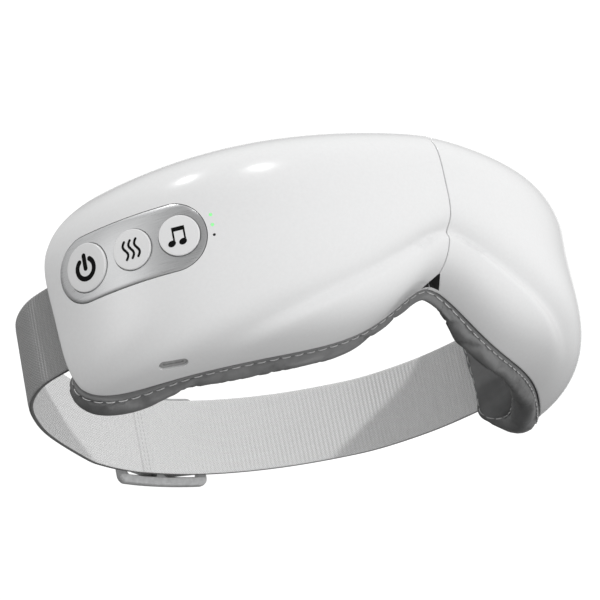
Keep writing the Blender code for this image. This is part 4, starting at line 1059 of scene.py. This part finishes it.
def inflate(obj, held):
    """Cloth under pressure between the sewn lines, which stay where they are."""
    rest = np.array([v.co for v in obj.data.vertices])
    group = obj.vertex_groups.new(name="held")
    group.add(held, 1.0, "REPLACE")
    cloth = obj.modifiers.new("cloth", "CLOTH")
    settings = cloth.settings
    settings.quality, settings.mass = 6, 0.15
    settings.tension_stiffness = settings.compression_stiffness = 18
    settings.shear_stiffness, settings.bending_stiffness = 8, 0.4
    settings.use_pressure, settings.uniform_pressure_force = True, PRESSURE
    settings.shrink_min = -0.035
    settings.effector_weights.gravity = 0
    settings.vertex_group_mass = group.name
    cloth.collision_settings.use_collision = False
    scene = bpy.context.scene
    for at in range(1, CLOTH_FRAMES + 1):
        scene.frame_set(at)
    graph = bpy.context.evaluated_depsgraph_get()
    moved = np.array([v.co for v in obj.evaluated_get(graph).data.vertices])
    obj.modifiers.clear()
    obj.vertex_groups.clear()
    scene.frame_set(1)
    change = moved - rest
    size = np.linalg.norm(change, axis=1, keepdims=True)
    change *= np.minimum(1, PUFF_MM * MM / np.maximum(size, 1e-9))
    obj.data.vertices.foreach_set("co", (rest + change).ravel())
    obj.data.update()


# Stitches: length, gap and radius.
LEATHER_STITCH, CUP_STITCH, STRAP_STITCH = (3.3, 0.9, 0.26), (2.2, 0.9, 0.17), (1.25, 0.35, 0.17)


def stitches(name, path, away, size, look, closed=False, sink=0.35):
    """A row of stitches along a path: short threads that dip into the surface at both ends."""
    length, gap, radius = size
    path = np.asarray(path, float)
    if closed:
        path, away = np.vstack((path, path[:1])), np.vstack((away, away[:1]))
    along = travelled(path)
    count = max(int(along[-1] / (length + gap)), 1)
    pitch = along[-1] / count
    sides = 7
    turns = np.linspace(0, 2 * np.pi, sides, endpoint=False)
    shares = np.array((0.0, 0.08, 0.25, 0.5, 0.75, 0.92, 1.0))
    thick = np.array((0.35, 0.85, 1.0, 1.0, 1.0, 0.85, 0.35))
    drop = np.array((1.0, 0.45, 0.05, 0.0, 0.05, 0.45, 1.0))
    points, faces = [], []
    for k in range(count):
        at = k * pitch + gap / 2 + (pitch - gap) * shares
        centre = np.stack([np.interp(at, along, path[:, i]) for i in range(3)], axis=1)
        out = unit(np.stack([np.interp(at, along, away[:, i]) for i in range(3)], axis=1))
        ahead = unit(np.gradient(centre, axis=0))
        aside = unit(np.cross(ahead, out))
        centre = centre - out * (drop * sink)[:, None]
        first = len(points)
        for c, o, a, r in zip(centre, out, aside, thick * radius):
            ring = c + r * (np.cos(turns)[:, None] * o * 0.8 + np.sin(turns)[:, None] * a)
            points += list(ring)
        faces += loft_faces(len(shares), sides, first=first)
        end = first + (len(shares) - 1) * sides
        faces += [tuple(range(first, first + sides))[::-1], tuple(range(end, end + sides))]
    return outward(add_mesh(name, points, faces, look))


def band_path(line, extra, at):
    """A path on the leather's outer band, and the way out of the leather along it."""
    by, share = at
    path = on_rim(inset(line, by + extra), band_height(line, share))
    outer = on_rim(inset(line, by + extra - 1), band_height(line, share))
    return path, unit(outer - path)


def make_bridge():
    """The leather over the nose, which joins both cushions."""
    lower, upper = outline_part(True)
    columns = []
    xs = np.linspace(-BRIDGE_X, BRIDGE_X, 41)
    for x in xs:
        column = []
        for line, sign in ((lower, 1), (upper, -1)):
            z = float(np.interp(abs(x), line[:, 0], line[:, 1]))
            before, after = max(abs(x) - 0.5, 0), abs(x) + 0.5
            near, far = np.interp((before, after), line[:, 0], line[:, 1])
            lean = 1 / math.sqrt(1 + ((far - near) / (after - before)) ** 2)
            part = []
            for by, share in BAND:
                flat = np.array((x, z + sign * by / max(lean, 0.6)))
                part.append(on_rim(flat, share * float(crest(flat))))
            column.append(part if sign == 1 else part[::-1])
        a, b = column[0][-1], column[1][0]
        fill = []
        for t in np.linspace(0, 1, BRIDGE_STEPS)[1:-1]:
            flat = np.array((x, a[2] + (b[2] - a[2]) * t))
            fill.append(on_rim(flat, BAND[-1][1] * float(crest(flat))))
        columns.append([*column[0], *fill, *column[1]])
    rings = np.array(columns)
    obj = lofted("nose_bridge_leather", rings, LOOKS["grey_leather"])
    return obj, rings


def make_cup(side):
    """The dark soft cup at the bottom of an eye hollow."""
    turns = np.linspace(0, 2 * np.pi, 120, endpoint=False)
    profile = (
        (1.01, 1.2), (1.012, 3.4), (1.0, 4.0), (0.97, 4.35), (0.92, 4.3), (0.88, 3.9),
        (0.86, 3.65), (0.84, 3.75), (0.78, 4.0), (0.68, 3.95), (0.56, 3.6), (0.42, 3.15),
        (0.28, 2.85), (0.14, 2.7),
    )

    def oval(share):
        across = np.column_stack((np.cos(turns), np.sin(turns)))
        return EYE + (EYE_HALF - 0.35) * share * across

    level = np.ones(len(turns))
    rings = [on_rim(oval(share), height * level) for share, height in profile]
    tips = [mirrored(side, on_rim(EYE, np.array(h))) for h in (1.2, 2.65)]
    name = side_name(side)
    obj = lofted(name + "_cup_soft", mirrored(side, rings), LOOKS["cup_fabric"], *tips)
    path = oval(0.9)
    row, out = on_rim(path, 4.22 * level), rim_normal(path[:, 0], path[:, 1])
    row, out, look = mirrored(side, row), mirrored(side, out), LOOKS["dark_thread"]
    return obj, stitches(name + "_cup_stitches", row, out, CUP_STITCH, look, True)


def make_leather():
    bridge, rings = make_bridge()
    for side in (RIGHT, LEFT):
        name, body = side_name(side), side_name(side) + "_half"
        pad, held = make_pad(side)
        inflate(pad, held)
        settle(pad, body, "grey_leather", name + "_pad")
        line = outline_part(False)
        extra = smoothed(strap_gap(line), 12)
        for label, at in (("edge", BAND_STITCH), ("top", TOP_STITCH)):
            path, out = band_path(line, extra, at)
            if label == "top":
                out = rim_normal(path[:, 0], path[:, 2])
            path, out = mirrored(side, path), mirrored(side, out)
            row_name = f"{name}_{label}_stitches"
            row = stitches(row_name, path, out, LEATHER_STITCH, LOOKS["thread"])
            settle(row, body, "grey_leather")
        cup, thread = make_cup(side)
        settle(cup, body, "cup_fabric", name + "_eye_cup")
        settle(thread, body, "cup_fabric")
    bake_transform(bridge)
    settle(bridge, None, "grey_leather", "nose_web")
    for label, row, flip in (("lower", 6, 1), ("upper", len(rings[0]) - 7, -1)):
        path = rings[:, row] + np.array((0, 0, -0.08 * flip))
        out = np.tile((0.0, -0.2, -1.0 * flip), (len(path), 1))
        row_name = f"bridge_{label}_stitches"
        thread = stitches(row_name, path, out, LEATHER_STITCH, LOOKS["thread"])
        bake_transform(thread)
        settle(thread, None, "grey_leather")


# ---------------- strap and buckle

ARC_CENTRE, ARC_RADIUS = np.array((18.0, 64.5)), 93.5
JOIN_DEG, BUCKLE_DEG = 97.5, 92.5


def strap_line():
    """The strap's middle line from the right temple round the back to the left temple."""
    right = ((-101.2, 43), (-102.2, 56), (-101.5, 72), (-94, 89.5), (-80, 106.3), (-62, 122.3))
    left = ((93.5, 119), (101, 98), (103.2, 76), (102.2, 56), (101.2, 43))
    turns = np.radians(np.concatenate((np.linspace(122, 97.5, 4), np.linspace(84, 46, 4))))
    arc = ARC_CENTRE + ARC_RADIUS * np.column_stack((np.cos(turns), np.sin(turns)))
    return smooth_line(np.vstack((right, arc, left)), STRAP_STEP)


STRAP_STEP, RIB_MM = 0.2, 1.7


def make_strap():
    """One flat ribbed ribbon with woven edges, light inside the loop and darker outside."""
    line = strap_line()
    ahead = unit(np.gradient(line, axis=0))
    inward = np.column_stack((ahead[:, 1], -ahead[:, 0]))
    middle = line.mean(axis=0)
    if ((middle - line[len(line) // 2]) @ inward[len(line) // 2]) < 0:
        inward = -inward
    along = np.arange(len(line)) * STRAP_STEP
    rib = np.cos(2 * np.pi * along / RIB_MM)
    woven_edge = np.array((13.9, 14.5, 14.9, 15.0))
    across = np.concatenate((-woven_edge[::-1], np.linspace(-13.2, 13.2, 9), woven_edge))
    profile = []
    for face in (1, -1):
        for v in across if face == 1 else across[::-1]:
            border = abs(v) > 14.95
            half = 0.35 if border else 0.62 if abs(v) > 14.8 else 0.78
            size = 0.0 if border else 0.07 if abs(v) > 13.5 else 0.17
            profile.append((v, face * half, face * size))
    rings = []
    for v, offset, size in profile:
        lift = offset + size * rib
        flat = line + inward * lift[:, None]
        rings.append(np.column_stack((flat, np.full(len(line), STRAP_Z + v))))
    rings = np.array(rings).transpose(1, 0, 2)
    obj = lofted("strap_webbing", rings, LOOKS["strap_elastic"])
    for name in ("strap_outer", "strap_edge"):
        obj.data.materials.append(LOOKS[name])
    columns, height = len(profile), len(across)
    uv = obj.data.uv_layers.new(name="UVMap").data
    for polygon in obj.data.polygons:
        verts = polygon.vertices
        if len(verts) != 4:
            continue
        rows = [v % columns for v in verts]
        inner = all(r < height for r in rows)
        rim = all(abs(profile[r][0]) > 14.85 for r in rows)
        polygon.material_index = 2 if rim else 0 if inner else 1
        for loop, v in zip(polygon.loop_indices, verts):
            uv[loop].uv = (along[v // columns], profile[v % columns][0])
    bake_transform(obj)
    settle(obj, None, "strap_elastic", "right_strap", "left_strap")


def flat_uv(obj):
    """Texture places straight from across and up, in millimetres."""
    layer = obj.data.uv_layers.new(name="UVMap")
    for loop in obj.data.loops:
        co = obj.data.vertices[loop.vertex_index].co / MM
        layer.data[loop.index].uv = (co.x, co.z - STRAP_Z)


def arc_point(deg, radius, z):
    turn = np.radians(deg)
    x, y = ARC_CENTRE[0] + radius * np.cos(turn), ARC_CENTRE[1] + radius * np.sin(turn)
    return np.stack((x, y, np.asarray(z) + 0 * turn), axis=-1)


def make_seam():
    """The lapped, double-sewn join of the strap's two lengths."""
    inner = ARC_RADIUS - STRAP_THICKNESS / 2
    per_mm = math.degrees(1 / inner)
    rings = []
    ramp = ((-2.6, 0.0), (-2.4, 0.35), (-1.6, 0.42), (-0.9, 0.32), (0, 0.4))
    for offset, lift in (*ramp, *((-offset, lift) for offset, lift in ramp[-2::-1])):
        deg = JOIN_DEG - offset * per_mm
        column = [
            arc_point(deg, inner - lift * (1 - 0.4 * low), STRAP_Z + z)
            for z, low in ((-14.9, 1), (-14.6, 0), (14.6, 0), (14.9, 1))
        ]
        rings.append(column + [arc_point(deg, inner + 0.3, STRAP_Z + z) for z in (14.9, -14.9)])
    lap = lofted("strap_lap", rings, LOOKS["strap_elastic"], sharp_deg=50)
    flat_uv(lap)
    settle(lap, "right_half", "strap_elastic")
    rows = []
    for k, offset in enumerate((-0.9, 0.9)):
        z = np.linspace(-14.2, 14.2, 60)
        path = arc_point(np.full(60, JOIN_DEG - offset * per_mm), inner - 0.36, STRAP_Z + z)
        out = unit(np.column_stack((ARC_CENTRE - path[:, :2], np.zeros(60))))
        look = LOOKS["thread"]
        rows.append(stitches(f"seam_row_{k}", path, out, STRAP_STITCH, look, sink=0.25))
    settle(joined("strap_seam_stitches", *rows), "right_half", "strap_elastic")


BUCKLE_HALF_WIDE, BUCKLE_HALF_HIGH, BUCKLE_HALF_THICK, BUCKLE_DROP = 22.0, 17.75, 1.55, 1.15
BUCKLE_BAR, BUCKLE_STANDOFF, BUCKLE_SHARP_DEG = 4.0, 1.9, 48


def make_buckle():
    """The curved slider: a frame with rounded edges, a middle bar and two slots."""
    radius, half_t = ARC_RADIUS + STRAP_THICKNESS / 2 + BUCKLE_STANDOFF, BUCKLE_HALF_THICK
    width, height = 2 * BUCKLE_HALF_WIDE, 2 * BUCKLE_HALF_HIGH
    slot_w, slot_h = (width - 3 * BUCKLE_BAR) / 2, STRAP_WIDTH + 0.6

    def rounded_box(cx, w, h, r, count=10):
        corners = []
        for sx, sz, first in ((1, 1, 0), (-1, 1, 90), (-1, -1, 180), (1, -1, 270)):
            for a in np.radians(np.linspace(first, first + 90, count)):
                x, z = cx + sx * (w / 2 - r), sz * (h / 2 - r)
                corners.append((x + r * math.cos(a), z + r * math.sin(a)))
        return resampled(np.array(corners), 160, True)

    def slab(name, cx, w, h, r, levels, look, drop=0.0):
        rings = []
        for grow, out in levels:
            box = rounded_box(cx, w + 2 * grow, h + 2 * grow, max(r + grow, 0.3))
            turn = math.radians(BUCKLE_DEG) - box[:, 0] / radius
            x, y = [
                centre + (radius + out) * turned_by
                for centre, turned_by in zip(ARC_CENTRE, (np.cos(turn), np.sin(turn)))
            ]
            rings.append(np.column_stack((x, y, STRAP_Z - drop + box[:, 1])))
        return lofted(name, rings, look)

    levels = [(-10, -half_t), (-4, -half_t), (-1.2, -half_t), (-0.5, -half_t + 0.12)]
    levels += [(-0.1, -half_t + 0.5), (0, 0)]
    levels += [(g, -o) for g, o in levels[-2::-1]]
    look = LOOKS["buckle_grey"]
    buckle = slab("buckle_frame", 0, width, height, 3.0, levels, look, BUCKLE_DROP)
    levels = [(0.6, -4), (0.45, -half_t), (0.12, -half_t + 0.4), (0, 0)]
    levels += [(g, -o) for g, o in levels[-2::-1]]
    for k, sign in enumerate((-1, 1)):
        middle = sign * (slot_w + BUCKLE_BAR) / 2
        boolean(buckle, slab(f"slot_{k}", middle, slot_w, slot_h, 1.2, levels, None))
    buckle.data.shade_smooth()
    buckle.data.set_sharp_from_angle(angle=math.radians(BUCKLE_SHARP_DEG))
    settle(buckle, "strap_buckle", "buckle_grey", "strap_buckle")
    make_threading()


def make_threading():
    """The webbing where it rises through one slot, over the bar and back through the other."""
    path = ((-16.8, 0.5), (-14.5, 1.3), (-11.0, 2.2), (-7.0, 3.9), (-3.5, 5.0), (0, 5.25))
    path = np.array(path + tuple((-s, r) for s, r in path[-2::-1]))
    along = np.linspace(-16.8, 16.8, 90)
    radius = ARC_RADIUS + smoothed(np.interp(along, path[:, 0], path[:, 1]), 20)
    turn = math.radians(BUCKLE_DEG) - along / ARC_RADIUS
    half = STRAP_WIDTH / 2 - 0.3
    rings = []
    for z, lift in ((-half, -0.5), (-half, 0.5), (half, 0.5), (half, -0.5)):
        flat = (radius + lift)[:, None] * np.column_stack((np.cos(turn), np.sin(turn)))
        rings.append(np.column_stack((flat + ARC_CENTRE, np.full(len(along), STRAP_Z + z))))
    rings = np.array(rings).transpose(1, 0, 2)
    webbing = lofted("buckle_webbing", rings, LOOKS["strap_outer"], sharp_deg=40)
    flat_uv(webbing)
    settle(webbing, "strap_buckle", "strap_elastic")


# ---------------- stage


def make_stage():
    bpy.ops.mesh.primitive_plane_add(size=14, location=(0, 0, -0.62))
    floor = bpy.context.object
    floor.name = "floor"
    floor.visible_diffuse = floor.visible_glossy = floor.visible_shadow = False
    look = Look("floor_pale", grey(0.8), 0.8)
    dust = look.noise(look.place(), 8.0)
    look.wire("Base Color", look.ramp(dust, 0.3, 0.7, grey(0.79), grey(0.81)))
    floor.data.materials.append(look.material)
    make_world()


CAMERA_AZIMUTH, CAMERA_ELEVATION, CAMERA_ROLL = 45.87, 18.4, 12.09
CAMERA_EYE, CAMERA_LENS_MM = Vector((-0.6055, -0.5874, -0.2807)), 157.2
CAMERA_AIM_RIGHT, CAMERA_AIM_UP = -0.03599, -0.0174
# Soft boxes: (degrees round from the camera's side to the picture's right, degrees up, strength).
SOFT_BOXES = (
    (0, -40, 0.5), (60, -40, 1.05), (120, -40, 0.28), (0, 5, 0.34), (60, 5, 0.22), (120, 5, 0.69),
    (60, 45, 0.34), (120, 45, 0.4), (240, 45, 0.38), (300, 45, 0.46), (0, 90, 0.64),
)
SOFT_BOX_SHARPNESS = 4.0
# A narrow box: (round, up, strength, sharpness), reflected by the brushed plate's rear half.
PLATE_BOX = (307, 18, 1.5, 30)
KEY_DIRECTION, KEY_STRENGTH, KEY_SPREAD_DEG = (-0.25, -0.871, 0.423), 1.08, 1.5
BACKDROP_EDGE_DEG = (24, 16)
# Small lights seen only as highlights: name, target, direction, width, height, turn, power.
GLINTS = (
    ("glint_sharp", (-0.0855, 0.0005, 0.018), (-0.41, -0.13, 0.90), 0.028, 0.075, 20, 0.45),
    ("glint_soft", (-0.0676, -0.0158, 0.0174), (-0.17, -0.62, 0.75), 0.035, 0.10, 30, 0.4),
)
GLINT_DISTANCE = 0.5


def heading(round_deg, up_deg):
    """A direction given from the camera's side of the object."""
    turn, up = math.radians(CAMERA_AZIMUTH + 180 - round_deg), math.radians(up_deg)
    return Vector((math.sin(turn) * math.cos(up), math.cos(turn) * math.cos(up), math.sin(up)))


def make_world():
    """A white backdrop behind the object and soft light from a few sides."""
    world = bpy.data.worlds.new("studio")
    bpy.context.scene.world = world
    world.use_nodes = True
    nodes, links = world.node_tree.nodes, world.node_tree.links
    where = nodes.new("ShaderNodeTexCoord").outputs["Generated"]

    def toward(direction):
        dot = nodes.new("ShaderNodeVectorMath")
        dot.operation = "DOT_PRODUCT"
        links.new(where, dot.inputs[0])
        dot.inputs[1].default_value = direction
        return dot.outputs["Value"]

    def calculated(operation, a, b):
        node = nodes.new("ShaderNodeMath")
        node.operation = operation
        for socket, value in zip(node.inputs, (a, b)):
            if isinstance(value, bpy.types.NodeSocket):
                links.new(value, socket)
            else:
                socket.default_value = value
        return node.outputs[0]

    edge = nodes.new("ShaderNodeMapRange")
    low, high = [math.cos(math.radians(v)) for v in BACKDROP_EDGE_DEG]
    edge.inputs["From Min"].default_value, edge.inputs["From Max"].default_value = low, high
    links.new(toward(heading(180, CAMERA_ELEVATION)), edge.inputs["Value"])
    total = edge.outputs[0]
    boxes = [*[(*box, SOFT_BOX_SHARPNESS) for box in SOFT_BOXES], PLATE_BOX]
    for round_deg, up_deg, strength, sharpness in boxes:
        facing = calculated("MAXIMUM", toward(heading(round_deg, up_deg)), 0.0)
        lobe = calculated("POWER", facing, float(sharpness))
        total = calculated("ADD", total, calculated("MULTIPLY", lobe, strength))
    links.new(total, nodes["Background"].inputs["Color"])


def glint(name, target, direction, width, height, turn_deg, power):
    data = bpy.data.lights.new(name, "AREA")
    data.shape, data.size, data.size_y, data.energy = "ELLIPSE", width, height, power
    obj = bpy.data.objects.new(name, data)
    bpy.context.scene.collection.objects.link(obj)
    direction = Vector(direction).normalized()
    obj.location = Vector(target) + direction * GLINT_DISTANCE
    obj.rotation_mode = "QUATERNION"
    turn = Matrix.Rotation(math.radians(turn_deg), 4, "Z").to_quaternion()
    obj.rotation_quaternion = direction.to_track_quat("Z", "Y") @ turn
    obj.visible_diffuse = False


def make_lights_and_camera():
    key = bpy.data.lights.new("key", "SUN")
    key.energy, key.angle = KEY_STRENGTH, math.radians(KEY_SPREAD_DEG)
    sun = bpy.data.objects.new("key", key)
    sun.rotation_mode = "QUATERNION"
    sun.rotation_quaternion = Vector(KEY_DIRECTION).to_track_quat("Z", "Y")
    sun.visible_glossy = False
    bpy.context.scene.collection.objects.link(sun)
    for light in GLINTS:
        glint(*light)

    azimuth, roll = math.radians(CAMERA_AZIMUTH), math.radians(CAMERA_ROLL)
    ahead = heading(180, CAMERA_ELEVATION)
    level = Vector((math.cos(azimuth), -math.sin(azimuth), 0))
    upright = level.cross(ahead)
    right = level * math.cos(roll) - upright * math.sin(roll)
    up = upright * math.cos(roll) + level * math.sin(roll)
    aim = (ahead + right * CAMERA_AIM_RIGHT + up * CAMERA_AIM_UP).normalized()
    right = (right - aim * right.dot(aim)).normalized()
    up = right.cross(aim)
    data = bpy.data.cameras.new("camera")
    data.lens, data.sensor_width = CAMERA_LENS_MM, 36.0
    data.clip_start, data.clip_end = 0.05, 50
    camera = bpy.data.objects.new("camera", data)
    rows = [[axis[k] for axis in (right, up, -aim, CAMERA_EYE)] for k in range(3)]
    camera.matrix_world = Matrix((*rows, (0, 0, 0, 1)))
    bpy.context.scene.collection.objects.link(camera)
    bpy.context.scene.camera = camera
    bpy.context.scene.view_settings.view_transform = "Standard"


# ---------------- the whole mask

SHELLS = {side: make_shell(side) for side in (RIGHT, LEFT)}
for shell in SHELLS.values():
    cut_notch(shell)
make_controls(SHELLS[RIGHT])
make_inlet(SHELLS[RIGHT])
for side, shell in SHELLS.items():
    shell.data.shade_smooth()
    shell.data.set_sharp_from_angle(angle=math.radians(SHELL_SHARP_DEG))
    settle(shell, side_name(side) + "_half", "gloss_white", side_name(side) + "_shell")
make_leather()
make_strap()
make_seam()
make_buckle()
finish_cad_nodes()
make_stage()
make_lights_and_camera()
